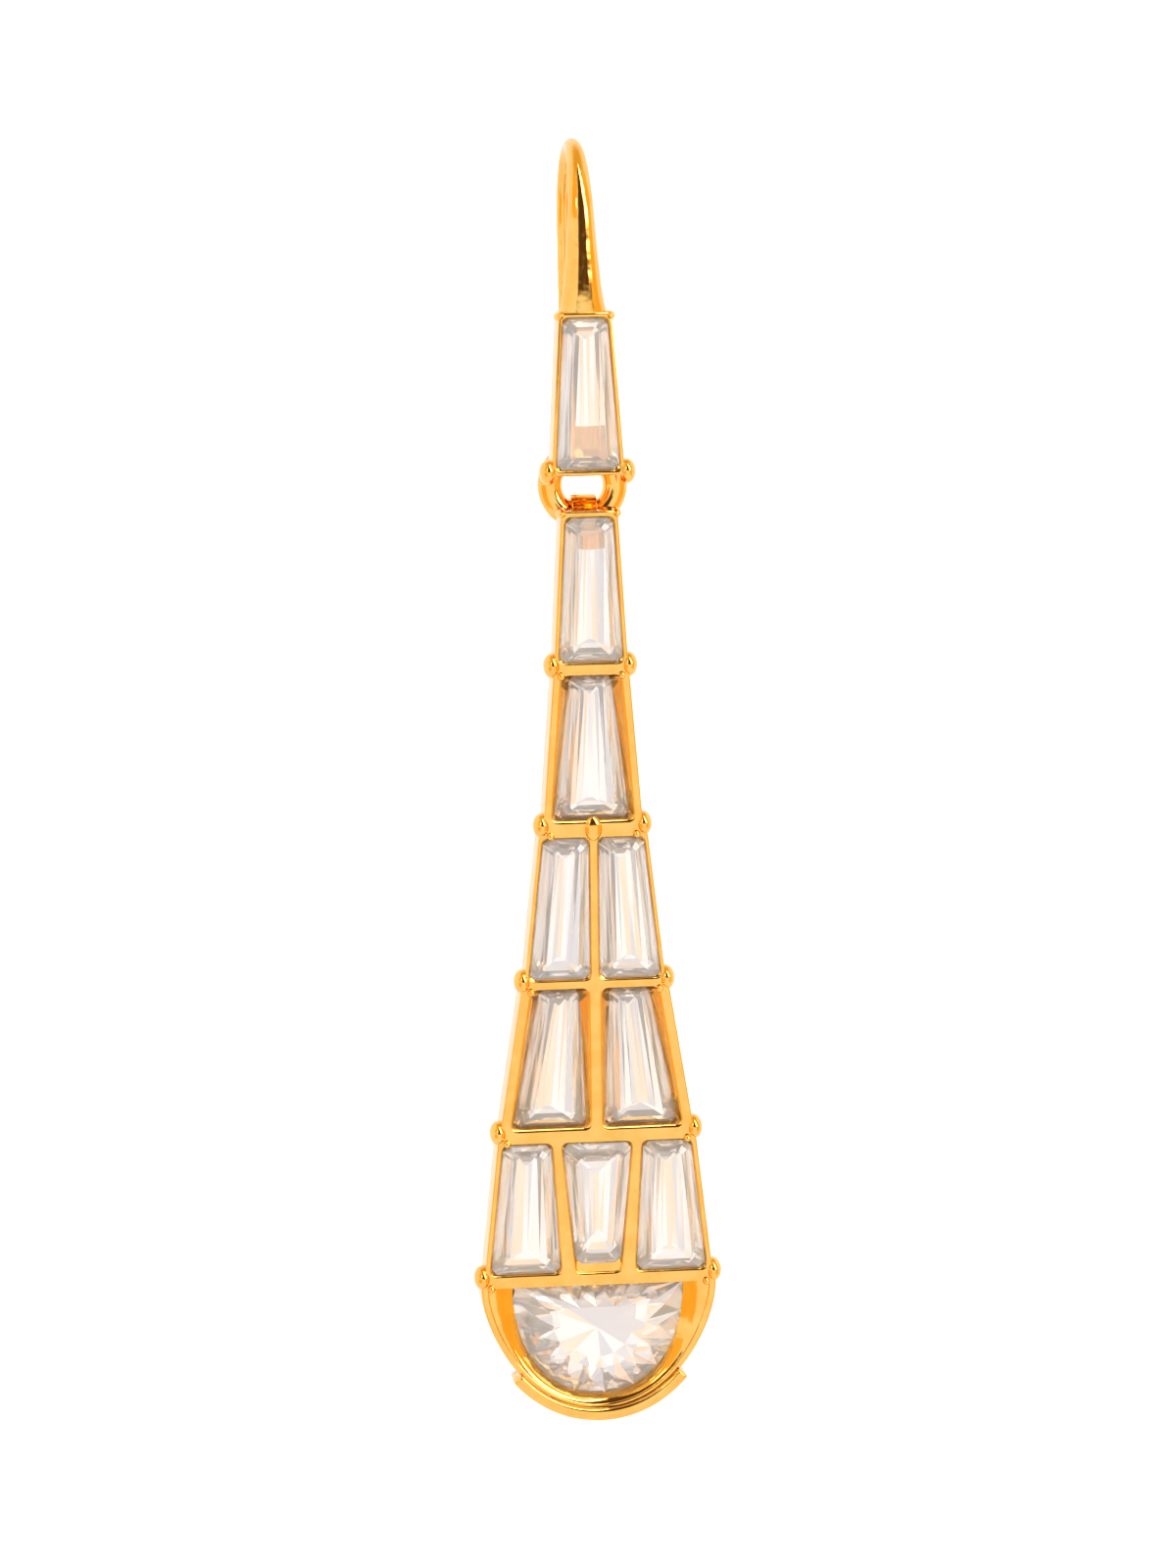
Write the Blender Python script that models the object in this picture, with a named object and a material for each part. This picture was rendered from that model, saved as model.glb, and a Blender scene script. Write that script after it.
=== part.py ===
"""A chandelier drop earring in gold-coloured metal with clear cut stones.

Metres, +Z up, the front faces -Y. The origin is the inner top of the ear hook's crown,
the point where the earring hangs. The drop is modelled flat about its own pivot, the
middle of the link ring's lower wire, and leans by the angle at which it balances there.
"""

import math
from collections import namedtuple

import bmesh
import bpy
from mathutils import Vector

# Ear hook
HOOK_BEND_RADIUS = 0.0036
HOOK_WIRE = 0.0007
HOOK_FALL = 0.00753
HOOK_FOOT_WIDTH = 0.00227
HOOK_FOOT_DEPTH = 0.0018
HOOK_TAIL = 0.0072
HOOK_FLICK_RADIUS = 0.008
HOOK_FLICK_ANGLE = math.radians(24)
HOOK_FOOT_SINK = 0.00012
HOOK_LEG_STEPS = 7
HOOK_BEND_STEPS = 16
HOOK_TAIL_STEPS = 3
HOOK_FLICK_STEPS = 4

# Top setting
TOP_STONE_HEIGHT = 0.00694
TOP_HEAD_WIDTH = 0.0025
TOP_FOOT_WIDTH = 0.00345
TOP_HEAD_BAR = 0.00025
TOP_FOOT_BAR = 0.00025

# Metal of both settings
FRAME_DEPTH = 0.0020
EDGE = 0.00008
RAIL = 0.0002
DIVIDER = 0.0003
BAR = 0.0005
DROP_HEAD_BAR = 0.0003
LEDGE = 0.00012
RECESS = 0.0005
CUT_PAST = 0.0004

# Baguettes
BAGUETTE_HEIGHT = 0.00676
DROP_WIDTH = 0.0109
CROWN = 0.0004
GIRDLE = 0.00012
PAVILION = 0.0009
GIRDLE_SET = 0.0001
STONE_CORNER = 0.0003
STONE_GAP = 0.00008
KEYSTONE_STEP = 0.0004
SEAT_SHARE = 0.25

# Half-moon and its cup
MOON_WIDTH = 0.00814
MOON_HEIGHT = 0.0053
MOON_CROWN = 0.0006
MOON_PAVILION = 0.0011
CUP_WIDTH = 0.01124
CUP_HEIGHT = 0.00615
CUP_RIM = 0.00035

# Lip round the tip
LIP_STAND = 0.00038
LIP_LAP = 0.0002
LIP_RISE = 0.0004
LIP_BACK = 0.0005
LIP_CHAMFER = 0.00014

# Prong beads
BEAD_WIDTH = 0.00085
BEAD_HEIGHT = 0.00118
BEAD_DEPTH = 0.0015
BEAD_PROUD = 0.0002
BEAD_OUT = 0.00006
FOOT_BEAD_OUT = 0.00012
BEAD_LIFT = 0.00015
SMALL_BEAD = 0.0005
BEAD_INSIDE = 0.33
FOOT_BEAD_INSIDE = 0.16
BEAD_RINGS = 6

# Link ring, eye and bail
RING_RADIUS = 0.00155
RING_WIRE = 0.00115
RING_PLAY = 0.0002
LOOP_PLAY = 0.0001
RING_BELOW_SETTING = 0.00047
DROP_BELOW_RING = 0.00096
EYE_WIDTH = 0.0006
EYE_BAND = 0.0003
BAIL_WIDTH = 0.0012
BAIL_BAND = 0.00022
PAD_MARGIN = 0.0002
KEEL_CLEARANCE = 0.0002
DROP_LEAN = math.radians(4.2)

# Rows of the drop, from the top. head and foot are outline widths as shares of DROP_WIDTH,
# height a share of BAGUETTE_HEIGHT, rail, divider and bar shares of the sizes so named,
# split the place of the outer dividers in the clear half width, fill the stone's share
# of its cell's width, and sunk a share of RECESS.
Row = namedtuple(
    "Row",
    "stones head foot height rail divider_head divider_foot split_head split_foot "
    "fill_head fill_foot sunk bar",
)
ROWS = (
    Row(1, 0.248, 0.320, 0.988, 1.1, 0.0, 0.0, 0.00, 0.000, 1.00, 1.00, 0.0, 1.26),
    Row(1, 0.332, 0.430, 0.987, 2.2, 0.0, 0.0, 0.00, 0.000, 0.74, 0.95, 1.0, 1.68),
    Row(2, 0.477, 0.615, 0.977, 1.0, 1.4, 1.4, 0.00, 0.000, 1.00, 1.00, 0.0, 0.96),
    Row(2, 0.648, 0.844, 0.959, 2.8, 2.3, 2.3, 0.00, 0.000, 0.74, 0.96, 1.0, 1.52),
    Row(3, 0.872, 1.000, 0.905, 1.4, 1.7, 2.5, 0.43, 0.275, 1.00, 1.00, 0.0, 1.32),
)

# Width of the hook's front leg over the plain wire, from its foot to the crown.
Swell = namedtuple("Swell", "along share")
HOOK_SWELL = (
    Swell(0.00, 1.00),
    Swell(0.09, 0.77),
    Swell(0.25, 0.55),
    Swell(0.47, 0.34),
    Swell(0.61, 0.24),
    Swell(1.00, 0.00),
)

# Steps of a baguette: how far each ring of edges lies in from the girdle, as a share of the
# half width, and how far up the crown or down the pavilion.
Step = namedtuple("Step", "inset level")
CROWN_STEPS = (Step(0.44, 1.0), Step(0.22, 0.62))
PAVILION_STEPS = (Step(0.28, 0.36), Step(0.60, 0.72), Step(0.92, 1.0))
MOON_CROWN_STEPS = (Step(0.42, 1.0), Step(0.18, 0.60))
MOON_PAVILION_STEPS = (Step(0.45, 0.50), Step(0.95, 1.0))

# Handles of the side curve of a half-moon shape, as shares of its height and half width.
MOON_SIDE = 0.55
MOON_SWEEP = 0.65
CUP_SIDE = 0.33
CUP_SWEEP = 0.64
LIP_SWEEP = 0.68
LIP_START = 0.57
MOON_MIDDLE = 0.42
CURVE_STEPS = 8

# How far the tail's rounded end runs on past its last station, and what is left of its
# thickness there, both as shares of the wire.
Cap = namedtuple("Cap", "past share")
TAIL_CAPS = (Cap(0.35, 0.8), Cap(0.5, 0.4))

ROUND_SIDES = 12
LINK_SIDES = 16
LINK_WIRE_SIDES = 6

GOLD = (0.95, 0.62, 0.18, 1.0)
CRYSTAL = (0.96, 0.95, 0.94, 1.0)

# Places worked out from the sizes above
CROWN_CENTRE_Z = HOOK_WIRE / 2 - HOOK_BEND_RADIUS
FRONT_Y = -HOOK_BEND_RADIUS
FACE = -FRAME_DEPTH / 2
BACK = FRAME_DEPTH / 2
MOUTH = FACE - EDGE / 4
TOP_SETTING_HEIGHT = TOP_HEAD_BAR + TOP_STONE_HEIGHT + 2 * STONE_GAP + TOP_FOOT_BAR
RING_Z = -HOOK_FALL - TOP_SETTING_HEIGHT - RING_BELOW_SETTING
RING_SET_BACK = BACK + RING_PLAY + RING_WIRE / 2
RING_Y = FRONT_Y + RING_SET_BACK
RING_HOLE = RING_RADIUS - RING_WIRE / 2

Cell = namedtuple("Cell", "head foot z_head z_foot")


def new_collection(name):
    collection = bpy.data.collections.new(name)
    bpy.context.scene.collection.children.link(collection)
    return collection


def gold_or_stone(name, colour, metallic, roughness):
    """One Principled material for one piece."""
    material = bpy.data.materials.new(name)
    material.use_nodes = True
    shader = material.node_tree.nodes["Principled BSDF"]
    shader.inputs["Base Color"].default_value = colour
    shader.inputs["Metallic"].default_value = metallic
    shader.inputs["Roughness"].default_value = roughness
    material.diffuse_color = colour
    return material


def add_object(name, bm, collection, parent=None):
    """Make a mesh object of a bmesh, its faces turned outwards."""
    bmesh.ops.recalc_face_normals(bm, faces=bm.faces)
    mesh = bpy.data.meshes.new(name)
    bm.to_mesh(mesh)
    bm.free()
    obj = bpy.data.objects.new(name, mesh)
    collection.objects.link(obj)
    obj.parent = parent
    return obj


def add_loft(bm, rings):
    """A closed solid through rings of equally many points, capped at both ends."""
    rows = [[bm.verts.new(point) for point in ring] for ring in rings]
    count = len(rows[0])
    for near, far in zip(rows, rows[1:]):
        for i in range(count):
            j = (i + 1) % count
            bm.faces.new((near[i], near[j], far[j], far[i]))
    bm.faces.new(rows[0])
    bm.faces.new(list(reversed(rows[-1])))


def add_bead(bm, centre, size):
    """An oval bead of the given width, depth and height."""
    made = bmesh.ops.create_uvsphere(
        bm, u_segments=ROUND_SIDES, v_segments=BEAD_RINGS, radius=0.5
    )
    for vert in made["verts"]:
        stretched = (vert.co.x * size[0], vert.co.y * size[1], vert.co.z * size[2])
        vert.co = Vector(stretched) + Vector(centre)


def boolean(obj, tool, operation):
    """Cut or join a tool with an exact Boolean, and keep the tool as a guide."""
    modifier = obj.modifiers.new(tool.name, "BOOLEAN")
    modifier.operation = operation
    modifier.solver = "EXACT"
    modifier.object = tool
    tool.hide_render = True
    tool.display_type = "WIRE"


def mesh_from_curve(curve_obj, name, collection, parent=None):
    """Turn a curve into a welded mesh object and remove the curve."""
    bpy.context.view_layer.update()
    evaluated = curve_obj.evaluated_get(bpy.context.evaluated_depsgraph_get())
    mesh = bpy.data.meshes.new_from_object(evaluated)
    bm = bmesh.new()
    bm.from_mesh(mesh)
    bmesh.ops.transform(bm, matrix=curve_obj.matrix_world, verts=bm.verts)
    bmesh.ops.remove_doubles(bm, verts=bm.verts, dist=1e-6)
    bpy.data.meshes.remove(mesh)
    bpy.data.objects.remove(curve_obj)
    return add_object(name, bm, collection, parent)


def flat_curve(name, outlines, thickness, edge, collection):
    """A filled flat curve of closed outlines, with rounded rims and a given thickness."""
    curve = bpy.data.curves.new(name, "CURVE")
    curve.dimensions = "2D"
    curve.fill_mode = "BOTH"
    curve.extrude = thickness / 2 - edge
    curve.bevel_depth = edge
    curve.bevel_resolution = 1
    curve.offset = -edge
    for outline in outlines:
        spline = curve.splines.new("POLY")
        spline.points.add(len(outline) - 1)
        for point, (x, y) in zip(spline.points, outline):
            point.co = (x, y, 0, 1)
        spline.use_cyclic_u = True
    obj = bpy.data.objects.new(name, curve)
    collection.objects.link(obj)
    return obj


def plate(name, outline, centre, collection, parent=None):
    """A metal plate of FRAME_DEPTH that stands upright, its outline given in X and Z."""
    curve_obj = flat_curve(name, [outline], FRAME_DEPTH, EDGE, collection)
    curve_obj.rotation_euler = (math.pi / 2, 0, 0)
    curve_obj.location = centre
    return mesh_from_curve(curve_obj, name, collection, parent)


def band_loop(name, centre, inner_radius, band, width, collection, parent=None):
    """A flat band bent into a closed loop round an axis along X."""
    circles = []
    for radius in (inner_radius + band, inner_radius):
        angles = [2 * math.pi * i / LINK_SIDES for i in range(LINK_SIDES)]
        circles.append([(radius * math.cos(a), radius * math.sin(a)) for a in angles])
    curve_obj = flat_curve(name, circles, width, 0, collection)
    curve_obj.rotation_euler = (math.pi / 2, 0, math.pi / 2)
    curve_obj.location = centre
    return mesh_from_curve(curve_obj, name, collection, parent)


def loop_radius(width):
    """Inner radius of a loop of this width that clears the ring's wire by LOOP_PLAY."""
    chord = math.sqrt(RING_HOLE ** 2 - (width / 2) ** 2)
    return RING_RADIUS - chord + LOOP_PLAY


def offset_cell(cell, distance):
    """A cell grown by a distance on all four sides, or shrunk by a negative one."""
    z_head = cell.z_head + distance
    z_foot = cell.z_foot - distance
    heads = []
    feet = []
    for side, sign in ((0, -1), (1, 1)):
        slope = (cell.foot[side] - cell.head[side]) / (cell.z_foot - cell.z_head)
        shift = sign * distance * math.sqrt(1 + slope ** 2)
        heads.append(cell.head[side] + shift + slope * distance)
        feet.append(cell.foot[side] + shift - slope * distance)
    return Cell(tuple(heads), tuple(feet), z_head, z_foot)


def narrowed(pair, share):
    """A stretch shrunk to a share of its width about its middle."""
    middle = (pair[0] + pair[1]) / 2
    half = (pair[1] - pair[0]) / 2 * share
    return (middle - half, middle + half)


def stepped_cell(cell, share):
    """A stone outline stepped in by a share of its half width, at the ends as at the sides."""
    inset = share * (cell.head[1] - cell.head[0]) / 2
    head = narrowed(cell.head, 1 - share)
    foot = narrowed(cell.foot, 1 - share)
    return Cell(head, foot, cell.z_head - inset, cell.z_foot + inset)


def shortened_cell(cell, z_head, z_foot):
    """The part of a cell between two heights, on the same slanted sides."""
    stretches = []
    for z in (z_head, z_foot):
        mix = (z - cell.z_head) / (cell.z_foot - cell.z_head)
        stretches.append(tuple(a + (b - a) * mix for a, b in zip(cell.head, cell.foot)))
    return Cell(stretches[0], stretches[1], z_head, z_foot)


def filled_cell(cell, fill_head, fill_foot):
    """The stone's outline in a cell that is wider than the stone."""
    head = narrowed(cell.head, fill_head)
    foot = narrowed(cell.foot, fill_foot)
    return Cell(head, foot, cell.z_head, cell.z_foot)


def cell_ring(cell, radius, y):
    """The outline of a cell at a depth, each corner rounded through three points."""
    corners = [
        Vector((cell.head[0], y, cell.z_head)),
        Vector((cell.head[1], y, cell.z_head)),
        Vector((cell.foot[1], y, cell.z_foot)),
        Vector((cell.foot[0], y, cell.z_foot)),
    ]
    ring = []
    for i, corner in enumerate(corners):
        before = corner + (corners[i - 1] - corner).normalized() * radius
        after = corner + (corners[(i + 1) % 4] - corner).normalized() * radius
        middle = (before + after) / 4 + corner / 2
        ring += [before, middle, after]
    return ring


def baguette(name, cell, face, collection, parent):
    """A step-cut tapered baguette whose girdle starts at a depth, face to the front."""
    bm = bmesh.new()
    rings = []
    girdle_back = face + GIRDLE
    for step in CROWN_STEPS:
        outline = stepped_cell(cell, step.inset)
        radius = STONE_CORNER * (1 - step.inset)
        rings.append(cell_ring(outline, radius, face - CROWN * step.level))
    rings.append(cell_ring(cell, STONE_CORNER, face))
    rings.append(cell_ring(cell, STONE_CORNER, girdle_back))
    for step in PAVILION_STEPS:
        outline = stepped_cell(cell, step.inset)
        radius = STONE_CORNER * (1 - step.inset)
        rings.append(cell_ring(outline, radius, girdle_back + PAVILION * step.level))
    add_loft(bm, rings)
    obj = add_object(name, bm, collection, parent)
    obj.data.materials.append(gold_or_stone(name + "_crystal", CRYSTAL, 0.0, 0.03))
    return obj


def cut_cell(bm, cell, stone, girdle_front, pad=None):
    """Add the cutter of one window: its mouth, the stone's seat, the ledge and the way out.

    pad is the window's outline behind the keel, where a pad carries a loop.
    """
    seat = girdle_front + GIRDLE + SEAT_SHARE * PAVILION
    hole = offset_cell(stone, STONE_GAP)
    ledge = offset_cell(stone, -LEDGE)
    rings = [cell_ring(cell, STONE_CORNER, FACE - CUT_PAST)]
    rings.append(cell_ring(cell, STONE_CORNER, MOUTH))
    rings.append(cell_ring(hole, STONE_CORNER, max(girdle_front, FACE + EDGE)))
    rings.append(cell_ring(hole, STONE_CORNER, seat))
    rings.append(cell_ring(ledge, STONE_CORNER, seat))
    if pad:
        keel = girdle_front + GIRDLE + PAVILION + KEEL_CLEARANCE
        rings.append(cell_ring(ledge, STONE_CORNER, keel))
        rings.append(cell_ring(pad, STONE_CORNER, keel))
        ledge = pad
    rings.append(cell_ring(ledge, STONE_CORNER, BACK + CUT_PAST))
    add_loft(bm, rings)


def moon_side_point(half, height, side, sweep, t):
    """A point of the right-hand curve, from the top corner at t = 0 to the tip at t = 1."""
    s = 1 - t
    x = half * (s ** 3 + 3 * s * s * t + 3 * s * t * t * sweep)
    z = -height * (3 * s * s * t * side + 3 * s * t * t + t ** 3)
    return x, z


def moon_points(width, height, side, sweep):
    """A half-moon outline, flat on top at z = 0, as points in X and Z."""
    half = width / 2
    right = []
    for i in range(CURVE_STEPS + 1):
        t = i / CURVE_STEPS
        right.append(moon_side_point(half, height, side, sweep, t))
    left = [(-x, z) for x, z in reversed(right[:-1])]
    top = [(-half / 3, 0.0), (half / 3, 0.0)]
    return top + right + left


def moon_ring(points, z_top, y, share=0.0, height=0.0):
    """The outline at a depth, shrunk by a share towards its middle."""
    middle = -MOON_MIDDLE * height
    scale = 1 - share
    return [Vector((x * scale, y, z_top + middle + (z - middle) * scale)) for x, z in points]


def hook_stations():
    """Points of the hook's centre line as (y, z, outward angle, distance from the foot)."""
    z_foot = -HOOK_FALL - HOOK_FOOT_SINK
    rise = CROWN_CENTRE_Z - z_foot
    bend = HOOK_BEND_RADIUS * math.pi
    stations = []
    for i in range(HOOK_LEG_STEPS):
        distance = rise * i / HOOK_LEG_STEPS
        stations.append((FRONT_Y, z_foot + distance, math.pi, distance))
    for i in range(HOOK_BEND_STEPS + 1):
        angle = math.pi * (1 - i / HOOK_BEND_STEPS)
        y = HOOK_BEND_RADIUS * math.cos(angle)
        z = CROWN_CENTRE_Z + HOOK_BEND_RADIUS * math.sin(angle)
        stations.append((y, z, angle, rise + bend * i / HOOK_BEND_STEPS))
    for i in range(1, HOOK_TAIL_STEPS + 1):
        z = CROWN_CENTRE_Z - HOOK_TAIL * i / HOOK_TAIL_STEPS
        stations.append((HOOK_BEND_RADIUS, z, 0.0, None))
    z_flick = CROWN_CENTRE_Z - HOOK_TAIL
    for i in range(1, HOOK_FLICK_STEPS + 1):
        turn = HOOK_FLICK_ANGLE * i / HOOK_FLICK_STEPS
        y = HOOK_BEND_RADIUS + HOOK_FLICK_RADIUS * (1 - math.cos(turn))
        z = z_flick - HOOK_FLICK_RADIUS * math.sin(turn)
        stations.append((y, z, turn, None))
    return stations, rise + bend / 2


def hook_swell(distance, length):
    """How much of the foot's extra width is left at a distance from the foot."""
    if distance is None or distance >= length:
        return 0.0
    along = distance / length
    for near, far in zip(HOOK_SWELL, HOOK_SWELL[1:]):
        if along <= far.along:
            mix = (along - near.along) / (far.along - near.along)
            return near.share + (far.share - near.share) * mix
    return 0.0


def hook_ring(y, z, angle, width, depth):
    """An oval section across the hook's centre line."""
    ring = []
    for i in range(ROUND_SIDES):
        turn = 2 * math.pi * i / ROUND_SIDES
        out = depth / 2 * math.sin(turn)
        x = width / 2 * math.cos(turn)
        ring.append(Vector((x, y + out * math.cos(angle), z + out * math.sin(angle))))
    return ring


def hook(collection):
    """The hook: a tapering front leg, the bend over the lobe and a plain tail."""
    stations, taper_length = hook_stations()
    rings = []
    for y, z, angle, distance in stations:
        swell = hook_swell(distance, taper_length)
        width = HOOK_WIRE + (HOOK_FOOT_WIDTH - HOOK_WIRE) * swell
        depth = HOOK_WIRE + (HOOK_FOOT_DEPTH - HOOK_WIRE) * swell
        rings.append(hook_ring(y, z, angle, width, depth))
    y, z, angle, _ = stations[-1]
    for cap in TAIL_CAPS:
        tip_y = y + cap.past * HOOK_WIRE * math.sin(angle)
        tip_z = z - cap.past * HOOK_WIRE * math.cos(angle)
        thickness = cap.share * HOOK_WIRE
        rings.append(hook_ring(tip_y, tip_z, angle, thickness, thickness))
    bm = bmesh.new()
    add_loft(bm, rings)
    return add_object("hook_wire", bm, collection)


def bead_pair(bm, half_width, z, centre_y, size):
    """Two prong beads at the ends of a cross bar."""
    y = centre_y + FACE - BEAD_PROUD + size[1] / 2
    for side in (-1, 1):
        add_bead(bm, (side * half_width, y, z), size)


def ear_piece(parts, tools):
    """The hook with the top setting and its eye, soldered into one solid, and its stone."""
    z_head = -HOOK_FALL
    z_foot = z_head - TOP_SETTING_HEIGHT
    head = TOP_HEAD_WIDTH / 2
    foot = TOP_FOOT_WIDTH / 2
    outline = [(-head, z_head), (head, z_head), (foot, z_foot), (-foot, z_foot)]
    centre = (0, FRONT_Y, 0)
    body = plate("ear_hook", outline, centre, parts)

    seat_head = z_head - TOP_HEAD_BAR
    seat_foot = z_foot + TOP_FOOT_BAR
    slope = (foot - head) / TOP_SETTING_HEIGHT
    clear_head = head + slope * TOP_HEAD_BAR - RAIL
    clear_foot = foot - slope * TOP_FOOT_BAR - RAIL
    cell = Cell((-clear_head, clear_head), (-clear_foot, clear_foot), seat_head, seat_foot)
    stone = offset_cell(cell, -STONE_GAP)
    eye_radius = loop_radius(EYE_WIDTH)
    eye_z = RING_Z + RING_RADIUS
    pad_top = eye_z + eye_radius + EYE_BAND + PAD_MARGIN
    opening = offset_cell(stone, -LEDGE - EDGE)
    pad = shortened_cell(opening, opening.z_head, pad_top)
    girdle_front = FACE + GIRDLE_SET
    bm = bmesh.new()
    cut_cell(bm, cell, stone, girdle_front, pad)
    cutter = add_object("top_setting_window", bm, tools)
    cutter.location = centre
    boolean(body, cutter, "DIFFERENCE")

    boolean(body, hook(tools), "UNION")
    eye_centre = (0, RING_Y, eye_z)
    eye = band_loop("eye_loop", eye_centre, eye_radius, EYE_BAND, EYE_WIDTH, tools)
    boolean(body, eye, "UNION")
    bm = bmesh.new()
    small = (SMALL_BEAD, BEAD_DEPTH, SMALL_BEAD)
    bead_pair(bm, head - BEAD_OUT, z_head - BEAD_INSIDE * SMALL_BEAD, FRONT_Y, small)
    size = (BEAD_WIDTH, BEAD_DEPTH, BEAD_HEIGHT)
    bead_z = z_foot + FOOT_BEAD_INSIDE * BEAD_HEIGHT
    bead_pair(bm, foot + FOOT_BEAD_OUT, bead_z, FRONT_Y, size)
    boolean(body, add_object("top_setting_beads", bm, tools), "UNION")
    body.data.materials.append(gold_or_stone("ear_hook_gold", GOLD, 1.0, 0.12))

    holder = bpy.data.objects.new("top_setting_middle", None)
    parts.objects.link(holder)
    holder.location = centre
    baguette("stone_top", stone, girdle_front, parts, holder)


def link_ring(parts, pivot):
    """The round ring that joins the drop to the ear piece, its axis fore and aft."""
    bpy.ops.mesh.primitive_torus_add(
        major_segments=LINK_SIDES,
        minor_segments=LINK_WIRE_SIDES,
        major_radius=RING_RADIUS,
        minor_radius=RING_WIRE / 2,
    )
    ring = bpy.context.object
    ring.name = "link_ring"
    for collection in ring.users_collection:
        collection.objects.unlink(ring)
    parts.objects.link(ring)
    ring.parent = pivot
    ring.rotation_euler = (math.pi / 2, 0, 0)
    ring.data.materials.append(gold_or_stone("link_ring_gold", GOLD, 1.0, 0.12))


def clear_spans(half, posts, width):
    """The clear stretches between rails at -half and half, with posts of a width between."""
    walls = [-half]
    for post in posts:
        walls += [post - width / 2, post + width / 2]
    walls.append(half)
    return list(zip(walls[::2], walls[1::2]))


def row_cells(row, z_head, z_foot):
    """The windows of one row, left to right."""
    edges = (
        (row.head, row.split_head, row.divider_head),
        (row.foot, row.split_foot, row.divider_foot),
    )
    spans = []
    for width, split, divider in edges:
        half = width * DROP_WIDTH / 2 - row.rail * RAIL
        posts = []
        if row.stones == 2:
            posts = [0.0]
        if row.stones == 3:
            posts = [-split * half, split * half]
        spans.append(clear_spans(half, posts, divider * DIVIDER))
    return [Cell(head, foot, z_head, z_foot) for head, foot in zip(*spans)]


def drop(parts, tools, pivot):
    """The drop frame with its rows of baguettes, all about the pivot."""
    z = RING_RADIUS - DROP_BELOW_RING
    right = [(ROWS[0].head * DROP_WIDTH / 2, z)]
    z -= DROP_HEAD_BAR
    cutters = bmesh.new()
    beads = bmesh.new()
    size = (BEAD_WIDTH, BEAD_DEPTH, BEAD_HEIGHT)
    small = (SMALL_BEAD, BEAD_DEPTH, SMALL_BEAD)
    bead_pair(beads, right[0][0] - BEAD_OUT, z + BEAD_INSIDE * SMALL_BEAD, 0, small)
    bail_radius = loop_radius(BAIL_WIDTH)

    for number, row in enumerate(ROWS, 1):
        z_head = z
        z_foot = z_head - row.height * BAGUETTE_HEIGHT - 2 * STONE_GAP
        girdle_front = FACE + GIRDLE_SET + row.sunk * RECESS
        for place, cell in enumerate(row_cells(row, z_head, z_foot), 1):
            seat = filled_cell(cell, row.fill_head, row.fill_foot)
            if row.stones == 3 and place == 2:
                seat = shortened_cell(seat, z_head, z_foot + KEYSTONE_STEP)
            stone = offset_cell(seat, -STONE_GAP)
            pad = None
            if number == 1:
                pad_foot = -(bail_radius + BAIL_BAND + PAD_MARGIN)
                opening = offset_cell(stone, -LEDGE - EDGE)
                pad = shortened_cell(opening, pad_foot, opening.z_foot)
            cut_cell(cutters, cell, stone, girdle_front, pad)
            baguette(f"stone_row{number}_{place}", stone, girdle_front, parts, pivot)
        right += [(row.head * DROP_WIDTH / 2, z_head), (row.foot * DROP_WIDTH / 2, z_foot)]
        z = z_foot - row.bar * BAR
        middle = (z_foot + z) / 2
        bead_pair(beads, row.foot * DROP_WIDTH / 2 + BEAD_OUT, middle + BEAD_LIFT, 0, size)
        if number < len(ROWS) and ROWS[number].stones == 2 and row.stones == 1:
            add_bead(beads, (0, FACE + EDGE, middle), (BEAD_WIDTH, SMALL_BEAD, BEAD_HEIGHT))

    z_cup = z
    cup_steps = 2 * CURVE_STEPS
    for i in range(cup_steps + 1):
        x, dz = moon_side_point(CUP_WIDTH / 2, CUP_HEIGHT, CUP_SIDE, CUP_SWEEP, i / cup_steps)
        right.append((x, z_cup + dz))
    outline = right + [(-x, height) for x, height in reversed(right[:-1])]
    frame = plate("drop_frame", outline, (0, 0, 0), parts, pivot)

    half_moon(parts, pivot, cutters, z_cup)
    cutter = add_object("drop_windows", cutters, tools, pivot)
    boolean(frame, cutter, "DIFFERENCE")
    centre = (0, RING_SET_BACK, 0)
    bail = band_loop("bail_loop", centre, bail_radius, BAIL_BAND, BAIL_WIDTH, tools, pivot)
    boolean(frame, bail, "UNION")
    boolean(frame, lip(tools, pivot, z_cup), "UNION")
    boolean(frame, add_object("drop_beads", beads, tools, pivot), "UNION")
    frame.data.materials.append(gold_or_stone("drop_frame_gold", GOLD, 1.0, 0.12))


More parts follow.
